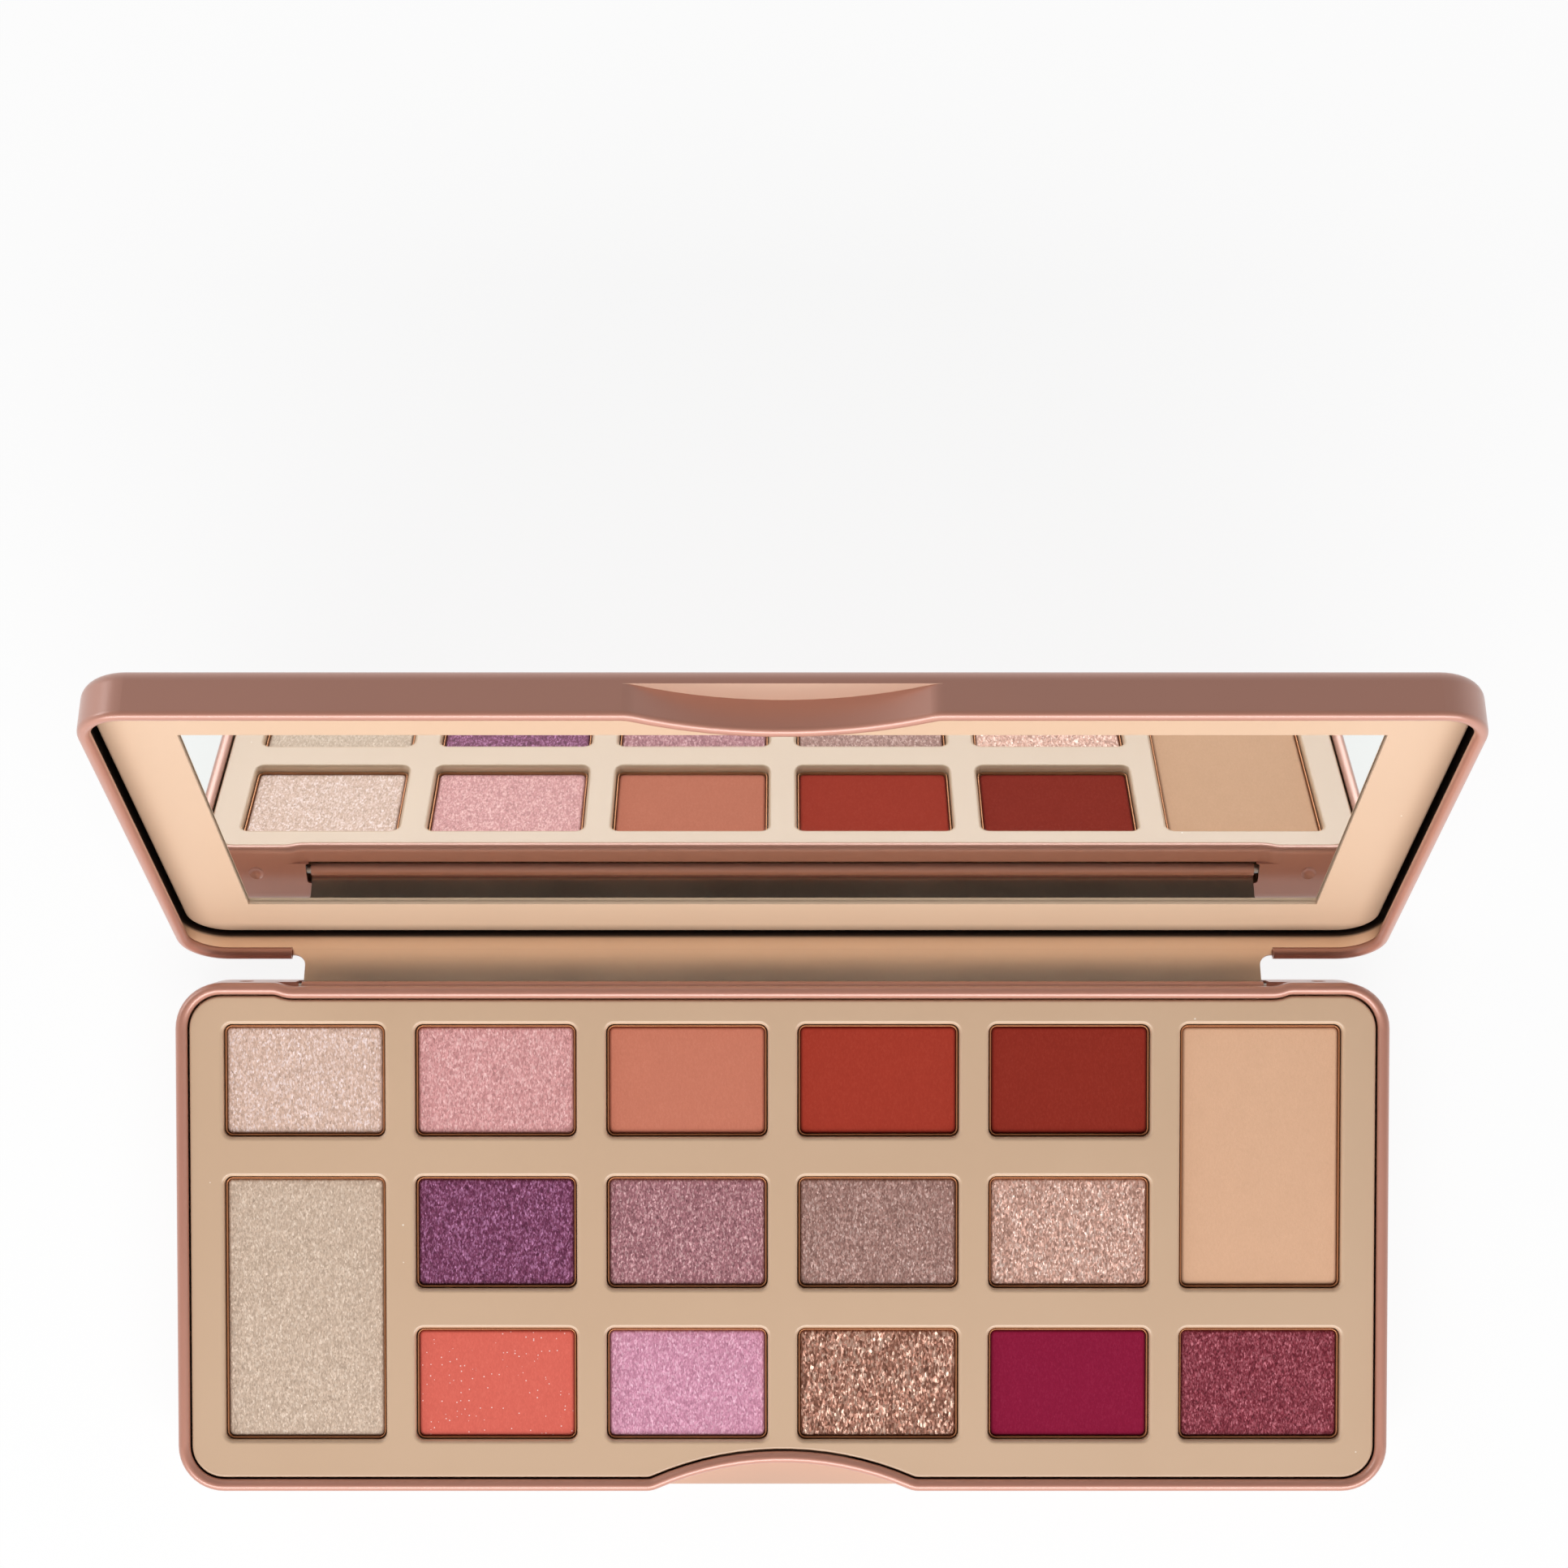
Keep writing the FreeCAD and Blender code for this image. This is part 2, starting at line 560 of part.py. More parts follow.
def make_base_shell():
    """Pressed base with a rolled rim, a thumb dent, a set-in hinge edge, the hinge slot and two dimples."""
    body = new_body("base_shell")
    outer = new_sketch(body, "BaseOutline")
    draw_round_box(outer, f"-{HALF_W}", f"-{HALF_D}", HALF_W, HALF_D, "Sizes.corner_radius")
    pad(body, outer, "BaseBlock", BASE_WALL_TOP)
    round_edges(body, "BaseEdge", "Sizes.edge_radius", at_height("0"))

    hollow_out(body, "BaseHollow", BASE_WALL_TOP)

    dent_floor = "(Sizes.base_height - Sizes.dent_height)"
    wall = new_sketch(body, "DentWallOutline", f"{dent_floor} - Sizes.sheet")
    inner_curve = draw_dent(wall, "Sizes.sheet", "0")
    close_area(wall, inner_curve, f"Sizes.sheet - {HALF_D}", f"Sizes.sheet / 2 - {HALF_D}")
    pad(body, wall, "DentWall", f"Sizes.dent_height - {ROLL} + Sizes.sheet")
    dent = new_sketch(body, "DentOutline", BASE_WALL_TOP)
    close_area(dent, draw_dent(dent, "0", "0"), f"-{HALF_D}", f"-{HALF_D} - Sizes.sheet")
    pocket(body, dent, "Dent", f"Sizes.dent_height - {ROLL}")

    set_in_height = f"({BASE_WALL_TOP} - {SLOT_TOP})"
    strip = new_sketch(body, "HingeEdgeWallOutline", f"{SLOT_TOP} - Sizes.sheet")
    inner_edge = draw_joggle(strip, "Sizes.sheet")
    close_area(strip, inner_edge, f"{HALF_D} - Sizes.sheet", f"{HALF_D} - Sizes.sheet / 2")
    pad(body, strip, "HingeEdgeWall", f"{set_in_height} + Sizes.sheet")
    recess = new_sketch(body, "HingeEdgeOutline", BASE_WALL_TOP)
    close_area(recess, draw_joggle(recess, "0"), HALF_D, f"{HALF_D} + Sizes.sheet")
    pocket(body, recess, "HingeEdge", set_in_height)

    slot = new_sketch(body, "SlotOutline", f"{CURL_R} * 2 - {HALF_D}", "XZ_Plane")
    draw_round_box(slot, f"-{SLOT_HALF}", SLOT_FOOT, SLOT_HALF, SLOT_TOP, "Sizes.slot_corner")
    pocket(body, slot, "Slot", f"{CURL_R} * 3")

    path = new_sketch(body, "RimPath", BASE_WALL_TOP)
    draw_case_outline(path, ROLL, "set_in")
    section = new_sketch(body, "RimSection", "0", "YZ_Plane")
    middle = (f"{HALF_D} - {RECESS} - {ROLL}", BASE_WALL_TOP)
    draw_curl(section, middle, (ROLL, ROLL_INNER), "Sizes.roll_sweep", True)
    sweep_rim(body, section, path)

    ball = "((Sizes.dimple_radius ^ 2 + Sizes.dimple_depth ^ 2) / (2 * Sizes.dimple_depth))"
    boss = new_sketch(body, "DimpleBackOutline", f"Sizes.sheet / 2 - {HALF_D}", "XZ_Plane")
    for side in SIDES:
        draw_circle(boss, f"{side} * {DIMPLE_X}", AXIS_Z, "Sizes.dimple_radius + Sizes.sheet")
    pad(body, boss, "DimpleBack", "Sizes.sheet / 2 + Sizes.dimple_depth")
    for side, name in ((1, "RightDimple"), (-1, "LeftDimple")):
        dimple = body.newObject("PartDesign::SubtractiveSphere", name)
        dimple.setExpression("Radius", ball)
        dimple.setExpression("Placement.Base.x", f"{side} * {DIMPLE_X}")
        dimple.setExpression("Placement.Base.y", f"{HALF_D} + {ball} - Sizes.dimple_depth")
        dimple.setExpression("Placement.Base.z", AXIS_Z)


def make_lid_shell():
    """Pressed lid with a rolled rim and a thumb dent; its rear wall runs down into a curled hinge tongue."""
    body = new_body("lid_shell", on_lid=True)
    front, back = f"{LID_MID} - {HALF_D}", f"{LID_MID} + {HALF_D}"
    outer = new_sketch(body, "LidOutline", LID_WALL_FOOT)
    draw_round_box(outer, f"-{HALF_W}", front, HALF_W, back, "Sizes.corner_radius")
    pad(body, outer, "LidBlock", f"Sizes.lid_height - {ROLL}")
    round_edges(body, "LidEdge", "Sizes.edge_radius", at_height(LID_TOP))
    hollow_out(body, "LidHollow", LID_WALL_FOOT)

    dent_height = f"(Sizes.lid_dent_height - {ROLL})"
    wall = new_sketch(body, "LidDentWallOutline", LID_WALL_FOOT)
    inner_curve = draw_dent(wall, "Sizes.sheet", LID_MID)
    close_area(wall, inner_curve, f"{front} + Sizes.sheet", f"{front} + Sizes.sheet / 2")
    pad(body, wall, "LidDentWall", f"{dent_height} + Sizes.sheet")
    dent = new_sketch(body, "LidDentOutline", LID_WALL_FOOT)
    close_area(dent, draw_dent(dent, "0", LID_MID), front, f"{front} - Sizes.sheet")
    pocket(body, dent, "LidDent", dent_height, reverse=True)

    path = new_sketch(body, "LidRimPath", LID_WALL_FOOT)
    draw_case_outline(path, ROLL, "open", LID_MID)
    section = new_sketch(body, "LidRimSection", ROLL_END, "YZ_Plane")
    middle = (f"{back} - {ROLL}", LID_WALL_FOOT)
    draw_curl(section, middle, (ROLL, ROLL_INNER), "Sizes.roll_sweep", False)
    sweep_rim(body, section, path)

    tongue = new_sketch(body, "TongueSection", f"-{TONGUE_HALF}", "YZ_Plane")
    draw_curl(tongue, ("0", "0"), (CURL_R, BORE_R), "Sizes.curl_sweep", False, strip=LID_WALL_FOOT)
    pad(body, tongue, "Tongue", f"2 * {TONGUE_HALF}")
    beside, foot = num(TONGUE_HALF), num(LID_WALL_FOOT)

    def under_the_wall(edge):
        box = edge.BoundBox
        at_side = box.XLength < TOUCH and abs(abs(box.XMin) - beside) < TOUCH
        return at_side and box.ZLength < TOUCH and abs(box.ZMin - foot) < TOUCH

    round_edges(body, "TongueCorners", "Sizes.tongue_corner", under_the_wall)


def make_hinge_wire():
    """Steel wire through the tongue's curl; both ends lie behind the base's rear wall."""
    wire = new_node("Part::Cylinder", "hinge_wire")
    wire.Placement.Rotation = FreeCAD.Rotation(FreeCAD.Vector(0, 1, 0), 90)
    wire.setExpression("Radius", WIRE_R)
    wire.setExpression("Height", f"2 * {WIRE_HALF}")
    wire.setExpression("Placement.Base.x", f"-{WIRE_HALF}")
    wire.setExpression("Placement.Base.y", AXIS_Y)
    wire.setExpression("Placement.Base.z", AXIS_Z)


def cell_place(cell):
    """The middle of a pan's pocket and its depth, as expressions."""
    column, row = cell
    large = cell in LARGE_PANS
    x = f"({column - (COLUMNS - 1) / 2} * {PITCH_ACROSS})"
    y = f"({LAYOUT_Y} + {(ROWS - 1) / 2 - row - (0.5 if large else 0)} * {PITCH_DEEP})"
    return x, y, LARGE_POCKET_D if large else POCKET_D


def draw_centred(sketch, x, y, half_x, half_y, corner):
    """A rectangle with round corners about a middle point."""
    draw_round_box(
        sketch, f"{x} - ({half_x})", f"{y} - ({half_y})", f"{x} + ({half_x})", f"{y} + ({half_y})", corner
    )


def draw_inset_box(sketch, inset, corner):
    """The case's plan drawn in by an inset, with round corners of their own."""
    draw_centred(sketch, "0", "0", f"{HALF_W} - {inset}", f"{HALF_D} - {inset}", corner)


def in_a_pocket(edge):
    """Whether an edge lies within one of the tray's pockets, seen from above."""
    box = edge.BoundBox
    for cell in PANS:
        x, y, depth = (num(value) for value in cell_place(cell))
        half_x, half_y = num(POCKET_W) / 2 + TOUCH, depth / 2 + TOUCH
        if max(box.XMax - x, x - box.XMin) < half_x and max(box.YMax - y, y - box.YMin) < half_y:
            return True
    return False


def make_pan_tray():
    """Moulded tray: a plate on a skirt, sixteen cups, posts down to the base and two bosses for the wire."""
    body = new_body("pan_tray")
    plate = new_sketch(body, "PlateOutline", PLATE_UNDER)
    draw_case_outline(plate, f"(2 * {ROLL} + Sizes.tray_gap)", "set_in")
    pad(body, plate, "Plate", "Sizes.tray_plate")
    round_edges(body, "PlateEdge", "Sizes.tray_edge", at_height(TRAY_TOP))

    skirt = new_sketch(body, "SkirtOutline", TRAY_FOOT)
    draw_inset_box(skirt, "Sizes.skirt_inset", "Sizes.skirt_corner")
    pad(body, skirt, "Skirt", f"{PLATE_UNDER} - {TRAY_FOOT}")
    under = new_sketch(body, "UnderHollowOutline", TRAY_FOOT)
    draw_inset_box(under, SKIRT_INNER, "Sizes.hollow_corner")
    pocket(body, under, "UnderHollow", f"{CUP_UNDER} - {TRAY_FOOT}", reverse=True)

    core = new_sketch(body, "CoreOutline", CUP_UNDER)
    middle = f"({1 - COLUMNS / 2} * {PITCH_ACROSS})"
    half = "(Sizes.land_across / 2 - Sizes.cup_wall)"
    ends = (f"{SKIRT_INNER} - {HALF_D}", f"{HALF_D} - {SKIRT_INNER}")
    draw_box(core, f"{middle} - {half}", ends[0], f"{middle} + {half}", ends[1])
    first_core = pocket(body, core, "Core", f"{PLATE_UNDER} - {CUP_UNDER}", reverse=True)
    repeat_across(body, first_core, "Cores", COLUMNS - 1)

    for number, run in enumerate(POCKET_RUNS, start=1):
        outline = new_sketch(body, f"Pocket{number}Outline", TRAY_TOP)
        x, y, depth = cell_place(run[0])
        draw_centred(outline, x, y, f"{POCKET_W} / 2", f"{depth} / 2", "Sizes.pocket_corner")
        first = pocket(body, outline, f"Pocket{number}", f"{TRAY_TOP} - {POCKET_FLOOR}")
        if len(run) > 1:
            repeat_across(body, first, f"Pocket{number}Row", len(run))
    on_top = at_height(TRAY_TOP)
    round_edges(body, "PocketEdges", "Sizes.pocket_edge", lambda edge: on_top(edge) and in_a_pocket(edge))

    posts = new_sketch(body, "PostOutline", TRAY_FOOT)
    for cell in POST_CELLS:
        x, y, depth = cell_place(cell)
        draw_circle(posts, x, y, "Sizes.post_diameter / 2")
    pad(body, posts, "Posts", f"{CUP_UNDER} - {TRAY_FOOT}")

    bosses = new_sketch(body, "BossOutline", SLOT_FOOT)
    far = f"({WIRE_HALF} - Sizes.boss_end_gap)"
    near = f"({far} - Sizes.boss_length)"
    for left, right in ((near, far), (f"-{far}", f"-{near}")):
        draw_box(bosses, left, f"{HALF_D} - {SKIRT_INNER}", right, f"{HALF_D} - Sizes.sheet - Sizes.tray_gap")
    pad(body, bosses, "Bosses", f"{SLOT_TOP} - {SLOT_FOOT} - Sizes.sheet - Sizes.tray_gap")
    groove = new_sketch(body, "GrooveOutline", WIRE_HALF, "YZ_Plane")
    draw_box(groove, f"{AXIS_Y} - {BORE_R}", f"{AXIS_Z} - {BORE_R}", HALF_D, f"{AXIS_Z} + {BORE_R}")
    pocket(body, groove, "Groove", f"2 * {WIRE_HALF}")


def make_pan(cell, number):
    """Drawn metal pan, standing in its pocket."""
    body = new_body(f"pan_{number}")
    x, y, depth = cell_place(cell)
    for axis, value in zip("xyz", (x, y, PAN_BOTTOM)):
        body.setExpression(f"Placement.Base.{axis}", value)
    half_x, half_y = f"({POCKET_W} / 2 - Sizes.pan_gap)", f"({depth} / 2 - Sizes.pan_gap)"
    outer = new_sketch(body, f"Pan{number}Outline")
    draw_centred(outer, "0", "0", half_x, half_y, "Sizes.pan_corner")
    pad(body, outer, f"Pan{number}Block", "Sizes.pan_height")
    inner = new_sketch(body, f"Pan{number}InnerOutline", "Sizes.pan_height")
    wall = "Sizes.pan_wall"
    draw_centred(inner, "0", "0", f"{half_x} - {wall}", f"{half_y} - {wall}", f"Sizes.pan_corner - {wall}")
    pocket(body, inner, f"Pan{number}Hollow", "Sizes.pan_height - Sizes.pan_wall")


def make_powder(cell, number):
    """Pressed powder cake with rounded upper edges, lying in its pan."""
    body = new_body(f"powder_{number}")
    x, y, depth = cell_place(cell)
    for axis, value in zip("xyz", (x, y, f"{PAN_BOTTOM} + Sizes.pan_wall")):
        body.setExpression(f"Placement.Base.{axis}", value)
    inset = "(Sizes.pan_wall + Sizes.powder_gap)"
    half_x = f"{POCKET_W} / 2 - Sizes.pan_gap - {inset}"
    half_y = f"{depth} / 2 - Sizes.pan_gap - {inset}"
    height = "(Sizes.pan_height - Sizes.pan_wall - Sizes.powder_sink)"
    outline = new_sketch(body, f"Powder{number}Outline")
    draw_centred(outline, "0", "0", half_x, half_y, f"Sizes.pan_corner - {inset}")
    pad(body, outline, f"Powder{number}Block", height)
    round_edges(body, f"Powder{number}Edge", "Sizes.powder_edge", at_height(height))


def make_group(label, members, on_lid=False):
    """Several like solids under one node name."""
    group = new_node("Part::Compound", label, on_lid)
    group.Links = members


def make_disc(name, x, y, z, radius, thickness):
    disc = doc.addObject("Part::Cylinder", name)
    disc.setExpression("Radius", radius)
    disc.setExpression("Height", thickness)
    for axis, value in zip("xyz", (x, y, z)):
        disc.setExpression(f"Placement.Base.{axis}", value)
    return disc


def make_block(name, low, high):
    """A box between two corners, given as expressions."""
    block = doc.addObject("Part::Box", name)
    for axis, side, start, end in zip("xyz", ("Length", "Width", "Height"), low, high):
        block.setExpression(f"Placement.Base.{axis}", start)
        block.setExpression(side, f"({end}) - ({start})")
    return block


def make_glue():
    """A pad of glue under each pan and under each post of the tray."""
    pads = []
    for cell, number in PAN_NAMES.items():
        x, y, depth = cell_place(cell)
        sizes = ("Sizes.pan_glue_diameter / 2", "Sizes.pan_glue_thickness")
        pads.append(make_disc(f"PanGlue{number}", x, y, POCKET_FLOOR, *sizes))
    make_group("pan_glue", pads)
    feet = []
    for number, cell in enumerate(POST_CELLS, start=1):
        x, y, depth = cell_place(cell)
        sizes = ("Sizes.post_diameter / 2 + Sizes.glue_margin", "Sizes.glue_thickness")
        feet.append(make_disc(f"TrayGlue{number}", x, y, "Sizes.sheet", *sizes))
    make_group("tray_glue", feet)


def make_closure_magnets():
    """Two bar magnets in the corner between the tray's plate and the front of its skirt."""
    bars = []
    back = f"Sizes.skirt_inset - {HALF_D}"
    front, foot = f"{back} - Sizes.magnet_width", f"{PLATE_UNDER} - Sizes.magnet_height"
    for side, name in ((1, "RightMagnet"), (-1, "LeftMagnet")):
        left = f"{side} * Sizes.magnet_spacing / 2 - Sizes.magnet_length / 2"
        right = f"{left} + Sizes.magnet_length"
        bars.append(make_block(name, (left, front, foot), (right, back, PLATE_UNDER)))
    make_group("closure_magnets", bars)


def make_mirror_frame():
    """Moulded frame with a window for the mirror, following the lid's inside."""
    body = new_body("mirror_frame", on_lid=True)
    outline = new_sketch(body, "FrameOutline", FRAME_FACE)
    draw_case_outline(outline, "Sizes.frame_inset", "straight", LID_MID)
    pad(body, outline, "FrameBlock", f"{FRAME_BACK} - {FRAME_FACE}")
    round_edges(body, "FrameEdge", "Sizes.frame_edge", at_height(FRAME_FACE))
    bevel = f"min(Sizes.edge_radius - Sizes.frame_inset; {FRAME_BACK} - {FRAME_FACE} - 2 * Sizes.frame_edge)"
    bevel_edges(body, "FrameBackEdge", bevel, at_height(FRAME_BACK))
    window = new_sketch(body, "WindowOutline", FRAME_FACE)
    draw_box(window, f"-{WINDOW_HALF_X}", WINDOW_FRONT, WINDOW_HALF_X, WINDOW_BACK)
    pocket(body, window, "Window", f"{FRAME_BACK} - {FRAME_FACE}", reverse=True)


def make_lid_slab(label, inset, low, high):
    """A flat rectangle in the mirror's place, smaller all round by an inset."""
    body = new_body(label, on_lid=True)
    outline = new_sketch(body, f"{label}_outline", low)
    half_x, half_y = f"({MIRROR_HALF_X} - {inset})", f"({MIRROR_HALF_Y} - {inset})"
    draw_box(outline, f"-{half_x}", f"{MIRROR_Y} - {half_y}", half_x, f"{MIRROR_Y} + {half_y}")
    pad(body, outline, f"{label}_slab", f"{high} - {low}")


def make_frame_tape():
    """Four strips of tape behind the mirror frame, round its window."""
    near, far = "Sizes.frame_tape_margin", "(Sizes.frame_tape_margin + Sizes.frame_tape_width)"
    left, right = f"-{WINDOW_HALF_X}", WINDOW_HALF_X
    spans = {
        "BackTape": (left, f"{WINDOW_BACK} + {near}", right, f"{WINDOW_BACK} + {far}"),
        "FrontTape": (left, f"{WINDOW_FRONT} - {far}", right, f"{WINDOW_FRONT} - {near}"),
        "RightTape": (f"{right} + {near}", WINDOW_FRONT, f"{right} + {far}", WINDOW_BACK),
        "LeftTape": (f"{left} - {far}", WINDOW_FRONT, f"{left} - {near}", WINDOW_BACK),
    }
    strips = []
    for name, (start_x, start_y, end_x, end_y) in spans.items():
        strips.append(make_block(name, (start_x, start_y, FRAME_BACK), (end_x, end_y, LID_PLATE)))
    make_group("frame_tape", strips, on_lid=True)


def check(nodes):
    """Every object built, and every sub-part one or more valid solids."""
    doc.recompute()
    for item in doc.Objects:
        if "Invalid" in item.State or "Error" in item.State:
            raise RuntimeError(f"{item.Label} failed: {item.State}")
    for node in nodes:
        if node.Shape.isNull() or not node.Shape.isValid() or not node.Shape.Solids:
            raise RuntimeError(f"{node.Label} is not a valid solid")


make_base_shell()
make_hinge_wire()
make_pan_tray()
for cell, number in PAN_NAMES.items():
    make_pan(cell, number)
    make_powder(cell, number)
make_glue()
make_closure_magnets()
make_lid_shell()
make_mirror_frame()
make_lid_slab("mirror", "0", MIRROR_FACE, MIRROR_BACK)
make_lid_slab("mirror_tape", "Sizes.mirror_tape_margin", MIRROR_BACK, LID_PLATE)
make_frame_tape()
check(NODES)

os.makedirs("parts", exist_ok=True)
for node in NODES:
    node.Shape.exportStep(f"parts/{node.Label}.step")
    print(node.Label, len(node.Shape.Solids), "solids,", round(node.Shape.Volume, 1), "cubic millimetres")
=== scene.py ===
# %% [markdown]
# # An eyeshadow palette in a rose-gold tin
# The palette is a pressed tin with a hinged lid. The base holds a moulded tray with sixteen pans of
# pressed powder, and the lid holds a framed mirror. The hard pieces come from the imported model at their
# real size; this lesson gives them their finishes and makes the powder cakes and the pans anew.

import json
import math

import bpy
import numpy as np
from mathutils import Matrix, Vector


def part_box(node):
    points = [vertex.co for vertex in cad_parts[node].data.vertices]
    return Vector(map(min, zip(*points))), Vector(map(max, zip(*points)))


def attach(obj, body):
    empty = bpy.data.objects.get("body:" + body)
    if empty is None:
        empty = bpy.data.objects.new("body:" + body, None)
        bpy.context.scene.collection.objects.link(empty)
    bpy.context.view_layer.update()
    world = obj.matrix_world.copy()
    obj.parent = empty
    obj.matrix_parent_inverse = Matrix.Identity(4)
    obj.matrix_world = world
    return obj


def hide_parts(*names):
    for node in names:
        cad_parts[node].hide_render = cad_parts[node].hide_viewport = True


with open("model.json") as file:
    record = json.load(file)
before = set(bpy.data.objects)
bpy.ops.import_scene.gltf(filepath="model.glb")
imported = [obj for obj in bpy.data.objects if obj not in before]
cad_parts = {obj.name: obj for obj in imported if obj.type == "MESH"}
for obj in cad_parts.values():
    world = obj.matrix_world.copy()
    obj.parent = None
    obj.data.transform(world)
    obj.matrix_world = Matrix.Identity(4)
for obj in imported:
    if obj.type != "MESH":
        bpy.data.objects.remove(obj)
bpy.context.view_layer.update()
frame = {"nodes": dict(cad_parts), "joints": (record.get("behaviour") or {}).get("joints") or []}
NODES = frame["nodes"]
MM = 0.001

# %% [markdown]
# ## The camera
# The palette is seen almost straight from above, with the lid leaning away at the top of the picture.
# A camera could be aimed by eye, but its place, focal length and shift follow from the corners of the
# case, so the values are set directly. The shift only moves the picture's frame, as a cropped print
# would.

# %% Camera
IMAGE_PX = 1932
FOCAL_PX = 3352
AXIS_PX = (964.2, 1109.5)
CAMERA_PLACE = Vector((0.0, 65.6, 423.4)) * MM
CAMERA_PITCH_DEG = -1.947
SENSOR_MM = 36.0
NEAREST_SEEN = 10 * MM

camera_data = bpy.data.cameras.new("camera")
camera_data.sensor_width = SENSOR_MM
camera_data.lens = FOCAL_PX * SENSOR_MM / IMAGE_PX
camera_data.shift_x = (IMAGE_PX / 2 - AXIS_PX[0]) / IMAGE_PX
camera_data.shift_y = (AXIS_PX[1] - IMAGE_PX / 2) / IMAGE_PX
camera_data.clip_start = NEAREST_SEEN
camera = bpy.data.objects.new("camera", camera_data)
camera.location = CAMERA_PLACE
camera.rotation_euler = (math.radians(CAMERA_PITCH_DEG), 0, 0)
bpy.context.scene.collection.objects.link(camera)
bpy.context.scene.camera = camera
print("lens in mm:", round(camera_data.lens, 2))

# %% [markdown]
# ## Light and floor
# Such a case is photographed in a white studio. One lamp alone would leave hard shadows and black
# reflections in the metal. So one wide softbox stands in front of the palette, about half-way up, and a
# smaller one at the back left keeps the lid's outer wall from going dull. The world is a white cove that
# falls off to a dark ceiling, so metal shows white round the sides and some depth from above. Together
# they light an upward face to about the value that its colour is written with. The floor is white to the
# camera and to reflections, and keeps part of the object's shadow.

# %% Softboxes
FRONT_BOX = {"place": (0.0, -0.71, 0.69), "size": (1.6, 0.32), "watts": 13.5}
BACK_BOX = {"place": (-0.95, 0.55, 0.50), "size": (0.6, 0.4), "watts": 2.8}


def add_softbox(name, place, size, watts):
    """A rectangular lamp that faces the origin: its -Z axis runs along minus its place."""
    lamp = bpy.data.lights.new(name, "AREA")
    lamp.shape = "RECTANGLE"
    lamp.size, lamp.size_y = size
    lamp.energy = watts
    softbox = bpy.data.objects.new(name, lamp)
    softbox.location = place
    softbox.rotation_euler = (-Vector(place)).to_track_quat("-Z", "Y").to_euler()
    bpy.context.scene.collection.objects.link(softbox)


add_softbox("front_softbox", **FRONT_BOX)
add_softbox("back_softbox", **BACK_BOX)
print("softboxes:", FRONT_BOX["watts"], "and", BACK_BOX["watts"], "watts")

# %% World
CEILING_FALL = 1.35


def add(tree, kind, **settings):
    """A node of that kind, with its settings."""
    node = tree.nodes.new(kind)
    for key, value in settings.items():
        setattr(node, key, value)
    return node


world = bpy.data.worlds.new("studio")
world.use_nodes = True
bpy.context.scene.world = world
cove = world.node_tree
outlook = add(cove, "ShaderNodeTexCoord")
upward = add(cove, "ShaderNodeSeparateXYZ")
cove.links.new(outlook.outputs["Generated"], upward.inputs[0])
rest = add(cove, "ShaderNodeMath", operation="SUBTRACT", use_clamp=True)
rest.inputs[0].default_value = 1.0
cove.links.new(upward.outputs["Z"], rest.inputs[1])
level = add(cove, "ShaderNodeMath", operation="POWER")
level.inputs[1].default_value = CEILING_FALL
cove.links.new(rest.outputs[0], level.inputs[0])
cove.nodes["Background"].inputs["Color"].default_value = (1, 1, 1, 1)
cove.links.new(level.outputs[0], cove.nodes["Background"].inputs["Strength"])
bpy.context.scene.view_settings.view_transform = "Standard"
print("light of the world: 1 less the height, to the power of", CEILING_FALL)

# %% Floor
FLOOR_SPAN = 4.0
FLOOR_SHADOW_SHARE = 0.10
PAPER_WHITE = (0.9, 0.9, 0.9)
PAPER_ROUGHNESS = 0.9


def white_to_eye(tree):
    """1 for rays from the camera, from glossy faces and through glass, and 0 for the rest."""
    path = add(tree, "ShaderNodeLightPath")
    seen = path.outputs["Is Camera Ray"]
    for label in ("Is Glossy Ray", "Is Transmission Ray"):
        both = add(tree, "ShaderNodeMath", operation="MAXIMUM")
        tree.links.new(seen, both.inputs[0])
        tree.links.new(path.outputs[label], both.inputs[1])
        seen = both.outputs[0]
    return seen


half = FLOOR_SPAN / 2
floor_corners = [(-half, -half, 0), (half, -half, 0), (half, half, 0), (-half, half, 0)]
floor_mesh = bpy.data.meshes.new("floor")
floor_mesh.from_pydata(floor_corners, [], [(0, 1, 2, 3)])
floor = bpy.data.objects.new("floor", floor_mesh)
bpy.context.scene.collection.objects.link(floor)

paper = bpy.data.materials.new("white_paper")
paper.use_nodes = True
sheet = paper.node_tree
matt = sheet.nodes["Principled BSDF"]
matt.inputs["Base Color"].default_value = (*PAPER_WHITE, 1)
matt.inputs["Roughness"].default_value = PAPER_ROUGHNESS
glow = add(sheet, "ShaderNodeEmission")
sheet_mix = add(sheet, "ShaderNodeMixShader")
share = add(sheet, "ShaderNodeMath", operation="MULTIPLY")
share.inputs[1].default_value = 1 - FLOOR_SHADOW_SHARE
sheet.links.new(white_to_eye(sheet), share.inputs[0])
sheet.links.new(share.outputs[0], sheet_mix.inputs["Fac"])
sheet.links.new(matt.outputs[0], sheet_mix.inputs[1])
sheet.links.new(glow.outputs[0], sheet_mix.inputs[2])
sheet.links.new(sheet_mix.outputs[0], sheet.nodes["Material Output"].inputs["Surface"])
floor_mesh.materials.append(paper)
print("floor span in m:", FLOOR_SPAN)

# %% [markdown]
# ## Shared effects
# Several finishes need the same small effects: a fine grain with a slow mottle, small specks, flakes of
# mica, and a test for the inner side of a sheet. Each material could have its own copy of these nodes.
# Here each effect is a node group with named sockets, so that it is built once and each material gives it
# its own values. The patterns are worked out from object coordinates in metres.

# %% Helpers for node groups
MIX_FIRST, MIX_SECOND, MIX_RESULT = 6, 7, 2  # places of the colour sockets on a Mix node


